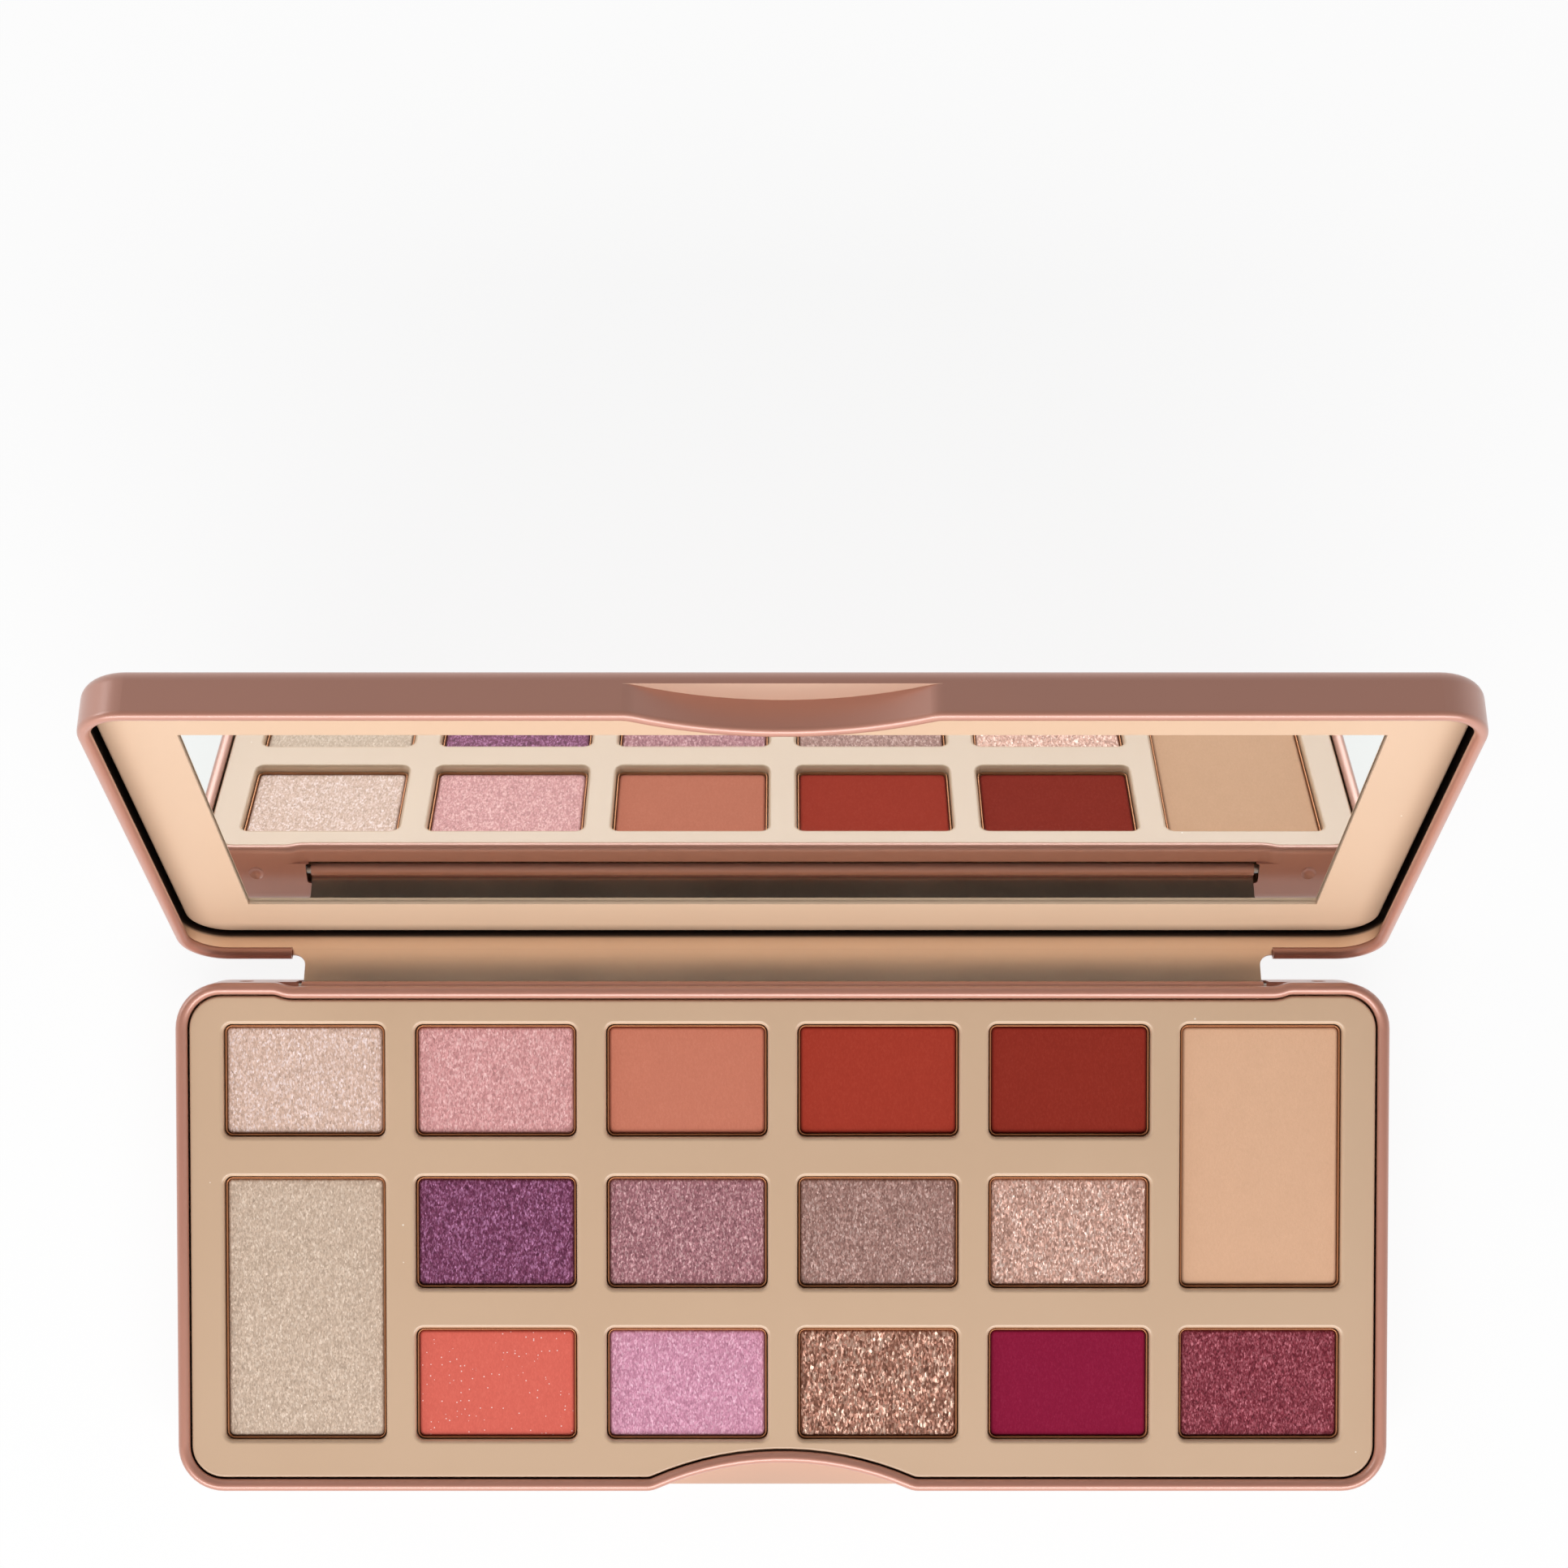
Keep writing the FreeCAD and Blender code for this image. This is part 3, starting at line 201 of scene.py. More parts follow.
def new_group(name, inputs, outputs):
    """An empty shader group with named sockets, and its two end nodes."""
    group = bpy.data.node_groups.new(name, "ShaderNodeTree")
    for label, kind, value in inputs:
        socket = group.interface.new_socket(label, in_out="INPUT", socket_type=f"NodeSocket{kind}")
        socket.default_value = value
    for label, kind in outputs:
        group.interface.new_socket(label, in_out="OUTPUT", socket_type=f"NodeSocket{kind}")
    return group, add(group, "NodeGroupInput"), add(group, "NodeGroupOutput")


def set_or_link(tree, socket, value):
    """Links a socket to another one, or sets it to a number or colour."""
    if isinstance(value, bpy.types.NodeSocket):
        tree.links.new(value, socket)
    else:
        socket.default_value = value


def math_node(tree, operation, first, second=None, third=None, clamp=False):
    """A Math node on up to three sockets or numbers; returns its output."""
    node = add(tree, "ShaderNodeMath", operation=operation, use_clamp=clamp)
    for socket, value in zip(node.inputs, (first, second, third)):
        if value is not None:
            set_or_link(tree, socket, value)
    return node.outputs[0]


def mix_colours(tree, factor, first, second):
    """A mix of two colours, which are sockets or RGB triples; returns its output."""
    node = add(tree, "ShaderNodeMix", data_type="RGBA")
    tree.links.new(factor, node.inputs[0])
    for index, value in ((MIX_FIRST, first), (MIX_SECOND, second)):
        plain = not isinstance(value, bpy.types.NodeSocket)
        set_or_link(tree, node.inputs[index], (*value, 1) if plain else value)
    return node.outputs[MIX_RESULT]


def use_group(tree, group, **values):
    """A group placed in a material with its own values; an underscore stands for a space in a name."""
    node = add(tree, "ShaderNodeGroup", node_tree=group)
    for label, value in values.items():
        node.inputs[label.replace("_", " ")].default_value = value
    return node


print("helpers for groups ready")

# %% Fine grain and slow mottle
GRAIN_DETAIL = 2.0
MOTTLE_DETAIL = 3.0


def build_fine_grain():
    """Two noises of object position: a fine one at the grain's own pitch and one many grains wide."""
    group, start, end = new_group(
        "fine_grain",
        [("Grains Per Metre", "Float", 4000.0), ("Mottle Per Metre", "Float", 120.0)],
        [("Height", "Float"), ("Mottle", "Float")],
    )
    place = add(group, "ShaderNodeTexCoord")
    noises = (
        ("Grains Per Metre", "Height", GRAIN_DETAIL),
        ("Mottle Per Metre", "Mottle", MOTTLE_DETAIL),
    )
    for label, output, detail in noises:
        noise = add(group, "ShaderNodeTexNoise")
        noise.inputs["Detail"].default_value = detail
        group.links.new(place.outputs["Object"], noise.inputs["Vector"])
        group.links.new(start.outputs[label], noise.inputs["Scale"])
        group.links.new(noise.outputs["Fac"], end.inputs[output])
    return group


FINE_GRAIN = build_fine_grain()
print("group:", FINE_GRAIN.name)


# %% Specks
def build_dust_and_glint_specks():
    """Voronoi cells with a low random number carry a round speck: all that is near their middle."""
    group, start, end = new_group(
        "dust_and_glint_specks",
        [("Specks Per Metre", "Float", 260.0), ("Speck Size", "Float", 0.1), ("Share", "Float", 0.12)],
        [("Mask", "Float")],
    )
    place = add(group, "ShaderNodeTexCoord")
    cells = add(group, "ShaderNodeTexVoronoi")
    group.links.new(place.outputs["Object"], cells.inputs["Vector"])
    group.links.new(start.outputs["Specks Per Metre"], cells.inputs["Scale"])
    near = math_node(group, "LESS_THAN", cells.outputs["Distance"], start.outputs["Speck Size"])
    split = add(group, "ShaderNodeSeparateColor")
    group.links.new(cells.outputs["Color"], split.inputs[0])
    chosen = math_node(group, "LESS_THAN", split.outputs[0], start.outputs["Share"])
    group.links.new(math_node(group, "MULTIPLY", near, chosen), end.inputs["Mask"])
    return group


DUST_AND_GLINT_SPECKS = build_dust_and_glint_specks()
print("group:", DUST_AND_GLINT_SPECKS.name)

# %% Flakes of mica
COARSE_SHARE = 0.67


def build_mica_flakes():
    """Voronoi cells as flakes, in a fine and a coarse layer.

    The brightness is the mean of the two layers' first random numbers. It leads from the darker Shade
    colour to body in its lower half and from body to the glint colour, a painted glint, in its upper
    half. The fine layer's other two random numbers, each less a half, tilt the normal, so that flakes
    also catch real glints.
    """
    group, start, end = new_group(
        "mica_flakes",
        [
            ("Body", "Color", (0.5, 0.5, 0.5, 1)),
            ("Shade", "Color", (0.2, 0.2, 0.2, 1)),
            ("Glint", "Color", (0.9, 0.9, 0.9, 1)),
            ("Flakes Per Metre", "Float", 3000.0),
            ("Stretch", "Float", 0.6),
            ("Tilt", "Float", 0.5),
        ],
        [("Colour", "Color"), ("Normal", "Vector"), ("Shine", "Float")],
    )
    place = add(group, "ShaderNodeTexCoord")
    squeeze = add(group, "ShaderNodeCombineXYZ")
    squeeze.inputs[0].default_value = 1
    squeeze.inputs[2].default_value = 1
    group.links.new(start.outputs["Stretch"], squeeze.inputs[1])
    drawn_out = add(group, "ShaderNodeVectorMath", operation="MULTIPLY")
    group.links.new(place.outputs["Object"], drawn_out.inputs[0])
    group.links.new(squeeze.outputs[0], drawn_out.inputs[1])

    def flakes(density):
        """One layer of flakes, at a share of the flakes per metre; returns its three random numbers."""
        cells = add(group, "ShaderNodeTexVoronoi")
        group.links.new(drawn_out.outputs[0], cells.inputs["Vector"])
        pitch = math_node(group, "MULTIPLY", start.outputs["Flakes Per Metre"], density)
        group.links.new(pitch, cells.inputs["Scale"])
        split = add(group, "ShaderNodeSeparateColor")
        group.links.new(cells.outputs["Color"], split.inputs[0])
        return split.outputs

    fine, coarse = flakes(1.0), flakes(COARSE_SHARE)
    brightness = math_node(group, "MULTIPLY", math_node(group, "ADD", fine[0], coarse[0]), 0.5)
    low = math_node(group, "MULTIPLY", brightness, 2.0, clamp=True)
    high = math_node(group, "MULTIPLY_ADD", brightness, 2.0, -1.0, clamp=True)
    shaded = mix_colours(group, low, start.outputs["Shade"], start.outputs["Body"])
    # Painted glint: the upper half of the brightness leads to the glint colour.
    colour = mix_colours(group, high, shaded, start.outputs["Glint"])
    group.links.new(colour, end.inputs["Colour"])
    group.links.new(high, end.inputs["Shine"])

    lean = add(group, "ShaderNodeCombineXYZ")
    for index in (0, 1):
        spread = math_node(group, "SUBTRACT", fine[index + 1], 0.5)
        group.links.new(math_node(group, "MULTIPLY", spread, start.outputs["Tilt"]), lean.inputs[index])
    surface = add(group, "ShaderNodeNewGeometry")
    leaning = add(group, "ShaderNodeVectorMath", operation="ADD")
    group.links.new(surface.outputs["Normal"], leaning.inputs[0])
    group.links.new(lean.outputs[0], leaning.inputs[1])
    unit = add(group, "ShaderNodeVectorMath", operation="NORMALIZE")
    group.links.new(leaning.outputs[0], unit.inputs[0])
    group.links.new(unit.outputs[0], end.inputs["Normal"])
    return group


MICA_FLAKES = build_mica_flakes()
print("group:", MICA_FLAKES.name)

# %% The inner side of a sheet
HAIR = 0.01 * MM
SHARP = (HAIR, HAIR, HAIR)


def build_inside_box():
    """1 between two corners, fading to 0 at each side over a softness: a product of six clamped ramps."""
    group, start, end = new_group(
        "inside_box",
        [
            ("Position", "Vector", (0, 0, 0)),
            ("Low", "Vector", (0, 0, 0)),
            ("High", "Vector", (1, 1, 1)),
            ("Softness", "Vector", SHARP),
        ],
        [("Mask", "Float")],
    )
    axes = {}
    for label in ("Position", "Low", "High", "Softness"):
        axes[label] = add(group, "ShaderNodeSeparateXYZ")
        group.links.new(start.outputs[label], axes[label].inputs[0])
    mask = None
    for index in range(3):
        here = axes["Position"].outputs[index]
        past_low = math_node(group, "SUBTRACT", here, axes["Low"].outputs[index])
        before_high = math_node(group, "SUBTRACT", axes["High"].outputs[index], here)
        for depth in (past_low, before_high):
            ramp = math_node(group, "DIVIDE", depth, axes["Softness"].outputs[index], clamp=True)
            mask = ramp if mask is None else math_node(group, "MULTIPLY", mask, ramp)
    group.links.new(mask, end.inputs["Mask"])
    return group


def build_faces_centre():
    """1 where a face looks back at a centre: the normal times the way from the centre is below zero."""
    group, start, end = new_group("faces_centre", [("Centre", "Vector", (0, 0, 0))], [("Mask", "Float")])
    place = add(group, "ShaderNodeTexCoord")
    outward = add(group, "ShaderNodeVectorMath", operation="SUBTRACT")
    group.links.new(place.outputs["Object"], outward.inputs[0])
    group.links.new(start.outputs["Centre"], outward.inputs[1])
    facing = add(group, "ShaderNodeVectorMath", operation="DOT_PRODUCT")
    group.links.new(place.outputs["Normal"], facing.inputs[0])
    group.links.new(outward.outputs[0], facing.inputs[1])
    group.links.new(math_node(group, "LESS_THAN", facing.outputs["Value"], 0.0), end.inputs["Mask"])
    return group


INSIDE_BOX = build_inside_box()
FACES_CENTRE = build_faces_centre()
print("groups:", INSIDE_BOX.name, "and", FACES_CENTRE.name)

# %% [markdown]
# ## Colours
# A shader works with linear values. The colours of the tin's lacquers and of the mirror's silver are
# written that way, as the share of light that they throw back. The others could be too, but they are
# easier to judge as they look on a screen, in steps of 255, and are turned into linear values here.

# %% Colour helpers
BLACK, WHITE = (0.0, 0.0, 0.0), (1.0, 1.0, 1.0)


def srgb(red, green, blue):
    """Linear RGB from screen values: a straight piece near black and a power curve above it."""
    level = np.array((red, green, blue)) / 255
    return tuple(np.where(level <= 0.04045, level / 12.92, ((level + 0.055) / 1.055) ** 2.4))


def toward(colour, target, share):
    """A colour moved part of the way to another one."""
    return tuple(a + (b - a) * share for a, b in zip(colour, target))


print("mid grey:", [round(v, 3) for v in srgb(128, 128, 128)])

# %% [markdown]
# ## The tin
# The case is pressed from thin sheet with a satin rose-gold lacquer outside and a brighter gold lacquer
# inside. The outer lacquer is part metal under a clear coat, and the floor of the thumb dent is painted a
# paler rose, a painted highlight.
# The rims are rolled inwards, so they show the outer lacquer. Round the mirror frame's seam and along the
# crease above the tongue's curl, the inner gold is painted near black as painted shade. Two shells of
# different colour would double every wall; instead the material asks which way a face looks, and where it
# lies in the shell's own upright frame.

# %% Frames of the two shells
hinge = frame["joints"][0]
HINGE_PLACE = Vector(hinge["pos_m"])
OPEN_ANGLE = math.radians(hinge["range_deg"][1])
BASE_UPRIGHT = Matrix.Identity(4)
LID_SHUT = Matrix.Rotation(OPEN_ANGLE, 4, "X") @ Matrix.Translation(-HINGE_PLACE)


def own_corners(node, place):
    """Lowest and highest corner of a CAD node in a frame of its own."""
    flat = np.empty(len(NODES[node].data.vertices) * 3)
    NODES[node].data.vertices.foreach_get("co", flat)
    points = np.c_[flat.reshape(-1, 3), np.ones(len(flat) // 3)] @ np.array(place).T
    return points[:, :3].min(axis=0), points[:, :3].max(axis=0)


base_low, base_high = own_corners("base_shell", BASE_UPRIGHT)
lid_low, lid_high = own_corners("lid_shell", LID_SHUT)
frame_face = own_corners("mirror_frame", LID_SHUT)[0][2]
print("lid shut, corners in mm:", (lid_low / MM).round(2), (lid_high / MM).round(2))


# %% Helpers for materials
def new_material(name):
    """A material with its tree and its Principled BSDF."""
    material = bpy.data.materials.new(name)
    material.use_nodes = True
    return material, material.node_tree, material.node_tree.nodes["Principled BSDF"]


def add_bump(tree, shader, height, depth, normal=None):
    """A bump whose full height is a depth in metres, on the surface or on a normal that already leans."""
    bump = add(tree, "ShaderNodeBump")
    bump.inputs["Distance"].default_value = depth
    tree.links.new(height, bump.inputs["Height"])
    if normal is not None:
        tree.links.new(normal, bump.inputs["Normal"])
    tree.links.new(bump.outputs[0], shader.inputs["Normal"])


def vary(tree, target, source, low, high):
    """Lets a value follow a noise or a mask from one limit, at 0, to another, at 1."""
    spread = add(tree, "ShaderNodeMapRange")
    spread.inputs["To Min"].default_value = low
    spread.inputs["To Max"].default_value = high
    tree.links.new(source, spread.inputs["Value"])
    tree.links.new(spread.outputs[0], target)


print("helpers for materials ready")

# %% Rose-gold and gold lacquer
ROSE_GOLD = (0.54, 0.243, 0.172)
INNER_GOLD = (0.98, 0.78, 0.61)
# Painted highlight: a paler rose for the floors of the thumb dents.
PAINTED_LEDGE_HIGHLIGHT = (0.72, 0.48, 0.36)
# Painted shade: near black for the inner gold in the gap round the mirror frame and along the curl's
# crease.
PAINTED_GAP_SHADE = (0.03, 0.016, 0.010)
ROSE_MOTTLE = 0.05
GOLD_MOTTLE = 0.06
LACQUER_METAL = 0.45
COAT_IOR = 1.7
COAT_ROUGHNESS = 0.3
SATIN_ROUGHNESS = 0.52
SATIN_SPREAD = 0.10
GOLD_SMOOTHER = 0.25
TIN_GRAIN = {"Grains_Per_Metre": 5200.0, "Mottle_Per_Metre": 55.0}
TIN_GRAIN_DEPTH = 0.004 * MM


def tin_material(name, place, centre, ledge, inner_boxes, painted_shade_boxes=()):
    """Satin lacquered metal with a painted highlight on the thumb ledge; inner faces in one of the boxes
    take the gold.
    """
    material, tree, shader = new_material(name)
    coordinates = add(tree, "ShaderNodeTexCoord")
    upright = add(tree, "ShaderNodeMapping", vector_type="POINT")
    upright.inputs["Location"].default_value = place.to_translation()
    upright.inputs["Rotation"].default_value = place.to_euler()
    tree.links.new(coordinates.outputs["Object"], upright.inputs["Vector"])

    def box_mask(low, high, softness=SHARP):
        """1 in a box of the shell's own frame."""
        box = use_group(tree, INSIDE_BOX, Low=low, High=high, Softness=softness)
        tree.links.new(upright.outputs[0], box.inputs["Position"])
        return box.outputs["Mask"]

    looks_in = use_group(tree, FACES_CENTRE, Centre=place.inverted() @ Vector(centre)).outputs["Mask"]
    zones = [box_mask(*box) for box in inner_boxes]
    while len(zones) > 1:
        zones.append(math_node(tree, "MAXIMUM", zones.pop(), zones.pop()))
    inside = math_node(tree, "MULTIPLY", looks_in, zones[0])
    grain = use_group(tree, FINE_GRAIN, **TIN_GRAIN)
    mottle = grain.outputs["Mottle"]
    rose = mix_colours(tree, mottle, toward(ROSE_GOLD, BLACK, ROSE_MOTTLE), ROSE_GOLD)
    # Painted highlight: the floor of the thumb dent takes the paler rose.
    rose = mix_colours(tree, box_mask(*ledge), rose, PAINTED_LEDGE_HIGHLIGHT)
    gold = mix_colours(tree, mottle, toward(INNER_GOLD, BLACK, GOLD_MOTTLE), INNER_GOLD)
    # Painted shade: in each shade box the inner gold turns near black.
    for box in painted_shade_boxes:
        gold = mix_colours(tree, box_mask(*box), gold, PAINTED_GAP_SHADE)
    tree.links.new(mix_colours(tree, inside, rose, gold), shader.inputs["Base Color"])
    vary(tree, shader.inputs["Metallic"], inside, LACQUER_METAL, 1.0)
    shader.inputs["Coat Weight"].default_value = 1.0
    shader.inputs["Coat IOR"].default_value = COAT_IOR
    shader.inputs["Coat Roughness"].default_value = COAT_ROUGHNESS
    satin = math_node(tree, "MULTIPLY_ADD", mottle, SATIN_SPREAD, SATIN_ROUGHNESS)
    smoother = math_node(tree, "MULTIPLY", inside, GOLD_SMOOTHER)
    tree.links.new(math_node(tree, "SUBTRACT", satin, smoother), shader.inputs["Roughness"])
    add_bump(tree, shader, grain.outputs["Height"], TIN_GRAIN_DEPTH)
    return material


print("rose gold:", ROSE_GOLD, "inner gold:", INNER_GOLD)

# %% Where the gold lies
SHEET = 0.3 * MM
ROLL_RADIUS = 0.9 * MM
LID_HEIGHT = 7.4 * MM
TONGUE_INSET = 18.7 * MM
ROLL_END = 2.0 * MM
DIMPLE_DEPTH = 0.6 * MM

# The lid's frame starts at the hinge, so its back end is also the outer radius of the tongue's curl.
curl = lid_high[1]
lid_rim = lid_high[2] - LID_HEIGHT
tongue_half = base_high[0] - TONGUE_INSET
gold_half = tongue_half + ROLL_END
base_centre = (0, 0, base_low[2] + 2 * SHEET)
lid_centre = (0, (lid_low[1] + lid_high[1]) / 2, lid_high[2] - 2 * SHEET)
base_gold_back = base_high[1] - DIMPLE_DEPTH - SHEET
base_inner = (base_low, (base_high[0], base_gold_back, base_high[2] - 2 * ROLL_RADIUS))
lid_inner = ((lid_low[0], lid_low[1], lid_rim + 2 * ROLL_RADIUS), lid_high)
tongue_inner = ((-gold_half, -curl, curl), (gold_half, lid_high[1], lid_rim + 2 * ROLL_RADIUS))
print("mirror frame's face lies", round((frame_face - lid_rim) / MM, 2), "mm inside the lid's rim")

# %% Where the painted shade of the seams and the painted highlight of the thumb ledges lie
LID_CORNER = 7.0 * MM
GAP_SHADE_HEIGHT = 0.9 * MM
SIDE_GAP_SHADE_HEIGHT = 2.4 * MM
DENT_HEIGHT = 5.3 * MM
LID_DENT_HEIGHT = 4.9 * MM
DENT_HALF = 22.0 * MM
LEDGE_SKIN = 0.05 * MM

# Painted shade: the inner gold turns near black a little before the mirror frame's face and deeper, and
# from further out on the left and right walls.
gap_shade_foot = frame_face - GAP_SHADE_HEIGHT
frame_gap_shade = ((lid_low[0], lid_low[1], gap_shade_foot), lid_high, (HAIR, HAIR, GAP_SHADE_HEIGHT / 2))
side_end = lid_high[1] - LID_CORNER / 2
side_foot = frame_face - SIDE_GAP_SHADE_HEIGHT
side_fade = (HAIR, LID_CORNER, SIDE_GAP_SHADE_HEIGHT / 2)
left_end, right_end = lid_low[0] + LID_CORNER / 2, lid_high[0] - LID_CORNER / 2
left_gap_shade = ((lid_low[0], lid_low[1], side_foot), (left_end, side_end, lid_high[2]), side_fade)
right_gap_shade = ((right_end, lid_low[1], side_foot), (lid_high[0], side_end, lid_high[2]), side_fade)
# Painted shade: the inner gold turns dark on the tongue's curl and just above it.
curl_shade_top = curl + 2 * SHEET
curl_shade_fade = (HAIR, HAIR, 2 * SHEET)
curl_painted_shade = ((-tongue_half, -curl, 0), (tongue_half, lid_high[1], curl_shade_top), curl_shade_fade)


def ledge_box(front, back, floor_height):
    """A thin box round the floor of a thumb dent."""
    low = (-DENT_HALF, front, floor_height - LEDGE_SKIN)
    high = (DENT_HALF, back, floor_height + LEDGE_SKIN)
    return low, high


# Painted highlight: the floors of both thumb dents are painted paler.
base_ledge = ledge_box(base_low[1], 0, base_high[2] - DENT_HEIGHT)
lid_ledge = ledge_box(lid_low[1], lid_centre[1], lid_rim + LID_DENT_HEIGHT)
BASE_TIN = tin_material("rose_gold_base", BASE_UPRIGHT, base_centre, base_ledge, [base_inner])
LID_TIN = tin_material("rose_gold_lid", LID_SHUT, lid_centre, lid_ledge, [lid_inner, tongue_inner],
                       [frame_gap_shade, left_gap_shade, right_gap_shade, curl_painted_shade])
print("tin finishes:", BASE_TIN.name, "and", LID_TIN.name)

# %% [markdown]
# ## Tray and mirror frame
# Tray and frame are the same satin moulding in a nude beige. One flat colour would look painted. Here a
# fine texture, such as a spark-eroded mould leaves, breaks up the gloss of the shader, a slow mottle
# changes the flat areas a little, and a few pale specks of powder lie on them. The frame's nude is
# painted a little paler than the tray's, as painted light on the same moulding.

# %% Nude plastic
NUDE = srgb(208, 175, 145)
# Painted light: the frame's nude is a little paler than the tray's, though both are the same moulding.
PAINTED_PALER_FRAME_NUDE = srgb(213, 180, 151)
PALE_DUST = srgb(240, 225, 212)
PLASTIC_GLOSS = 0.7
TRAY_ROUGHNESS = 0.34
FRAME_ROUGHNESS = 0.46
SMOOTHER_BY, ROUGHER_BY = 0.04, 0.05
NUDE_DARKER, NUDE_PALER = 0.04, 0.02
PLASTIC_GRAIN = {"Grains_Per_Metre": 7000.0, "Mottle_Per_Metre": 38.0}
PLASTIC_GRAIN_DEPTH = 0.006 * MM
PLASTIC_DUST = {"Specks_Per_Metre": 240.0, "Speck_Size": 0.035, "Share": 0.10}


def moulded_material(name, colour, roughness):
    """Satin plastic with a sparked grain, a faint mottle and a few specks of powder."""
    material, tree, shader = new_material(name)
    grain = use_group(tree, FINE_GRAIN, **PLASTIC_GRAIN)
    mottle = grain.outputs["Mottle"]
    specks = use_group(tree, DUST_AND_GLINT_SPECKS, **PLASTIC_DUST)
    darker, paler = toward(colour, BLACK, NUDE_DARKER), toward(colour, WHITE, NUDE_PALER)
    body = mix_colours(tree, mottle, darker, paler)
    dusty = mix_colours(tree, specks.outputs["Mask"], body, PALE_DUST)
    tree.links.new(dusty, shader.inputs["Base Color"])
    shader.inputs["Specular IOR Level"].default_value = PLASTIC_GLOSS
    vary(tree, shader.inputs["Roughness"], mottle, roughness - SMOOTHER_BY, roughness + ROUGHER_BY)
    add_bump(tree, shader, grain.outputs["Height"], PLASTIC_GRAIN_DEPTH)
    return material


TRAY_PLASTIC = moulded_material("nude_tray", NUDE, TRAY_ROUGHNESS)
FRAME_PLASTIC = moulded_material("nude_frame", PAINTED_PALER_FRAME_NUDE, FRAME_ROUGHNESS)
print("nude plastic:", [round(v, 3) for v in NUDE])

# %% [markdown]
# ## Mirror
# The mirror is silvered glass. A glass slab with a silver sheet behind it would double every edge, so one
# metal face stands for both, with a trace of green, faint wipe marks in its gloss, and dull green edges
# where the cut glass shows.

# %% Silvered glass
SILVER = (0.90, 0.925, 0.91)
GLASS_EDGE = srgb(120, 138, 124)
FLAT_LIMIT = 0.7
WIPE_MARKS = {"Grains_Per_Metre": 900.0, "Mottle_Per_Metre": 24.0}
WIPED_ROUGHNESS = 0.035


def mirror_material():
    """Clear silver on the two large faces; the rim takes the colour of cut glass.

    A face is a large one where its normal, taken along the mirror's own normal, is above a limit.
    """
    material, tree, shader = new_material("silvered_glass")
    coordinates = add(tree, "ShaderNodeTexCoord")
    facing = add(tree, "ShaderNodeVectorMath", operation="DOT_PRODUCT")
    facing.inputs[1].default_value = LID_SHUT.to_3x3().inverted() @ Vector((0, 0, 1))
    tree.links.new(coordinates.outputs["Normal"], facing.inputs[0])
    along = math_node(tree, "ABSOLUTE", facing.outputs["Value"])
    flat = math_node(tree, "GREATER_THAN", along, FLAT_LIMIT)
    tree.links.new(mix_colours(tree, flat, GLASS_EDGE, SILVER), shader.inputs["Base Color"])
    shader.inputs["Metallic"].default_value = 1.0
    wipes = use_group(tree, FINE_GRAIN, **WIPE_MARKS)
    vary(tree, shader.inputs["Roughness"], wipes.outputs["Mottle"], 0.0, WIPED_ROUGHNESS)
    return material


SILVERED_GLASS = mirror_material()
print("mirror tint:", SILVER)

# %% [markdown]
# ## Small metals, glue and tape
# The pans are drawn from tin with a warm lacquer, the hinge wire is steel, and magnets, glue and tape lie
# out of sight. One grey would do for what is hidden, but each has its own finish, for whoever takes the
# case apart.

# %% Drawn metal
METAL_GRAIN = {"Grains_Per_Metre": 6500.0, "Mottle_Per_Metre": 160.0}
METAL_GRAIN_DEPTH = 0.003 * MM
METAL_MOTTLE = 0.12
METAL_SMOOTHER, METAL_ROUGHER = 0.06, 0.08


def drawn_metal(name, colour, roughness, metallic=1.0):
    """Metal with a fine draw texture and a slow change of gloss; a lacquered one is less metallic."""
    material, tree, shader = new_material(name)
    grain = use_group(tree, FINE_GRAIN, **METAL_GRAIN)
    mottle = grain.outputs["Mottle"]
    body = mix_colours(tree, mottle, toward(colour, BLACK, METAL_MOTTLE), colour)
    tree.links.new(body, shader.inputs["Base Color"])
    shader.inputs["Metallic"].default_value = metallic
    vary(tree, shader.inputs["Roughness"], mottle, roughness - METAL_SMOOTHER, roughness + METAL_ROUGHER)
    add_bump(tree, shader, grain.outputs["Height"], METAL_GRAIN_DEPTH)
    return material


PAN_TIN = drawn_metal("bright_pan_tin", srgb(204, 140, 96), roughness=0.37, metallic=0.5)
print("pans:", PAN_TIN.name)

# %% Glue and tape, and all finishes of CAD nodes
SOFT_GRAIN = {"Grains_Per_Metre": 2200.0, "Mottle_Per_Metre": 300.0}
SOFT_GRAIN_DEPTH = 0.02 * MM
SOFT_MOTTLE = 0.15
SOFT_SPREAD = 0.1


def soft_layer(name, colour, roughness):
    """Glue or tape: dull, with a lumpy grain."""
    material, tree, shader = new_material(name)
    grain = use_group(tree, FINE_GRAIN, **SOFT_GRAIN)
    lumps = grain.outputs["Height"]
    body = mix_colours(tree, grain.outputs["Mottle"], toward(colour, BLACK, SOFT_MOTTLE), colour)
    tree.links.new(body, shader.inputs["Base Color"])
    vary(tree, shader.inputs["Roughness"], lumps, roughness - SOFT_SPREAD, roughness + SOFT_SPREAD)
    add_bump(tree, shader, lumps, SOFT_GRAIN_DEPTH)
    return material


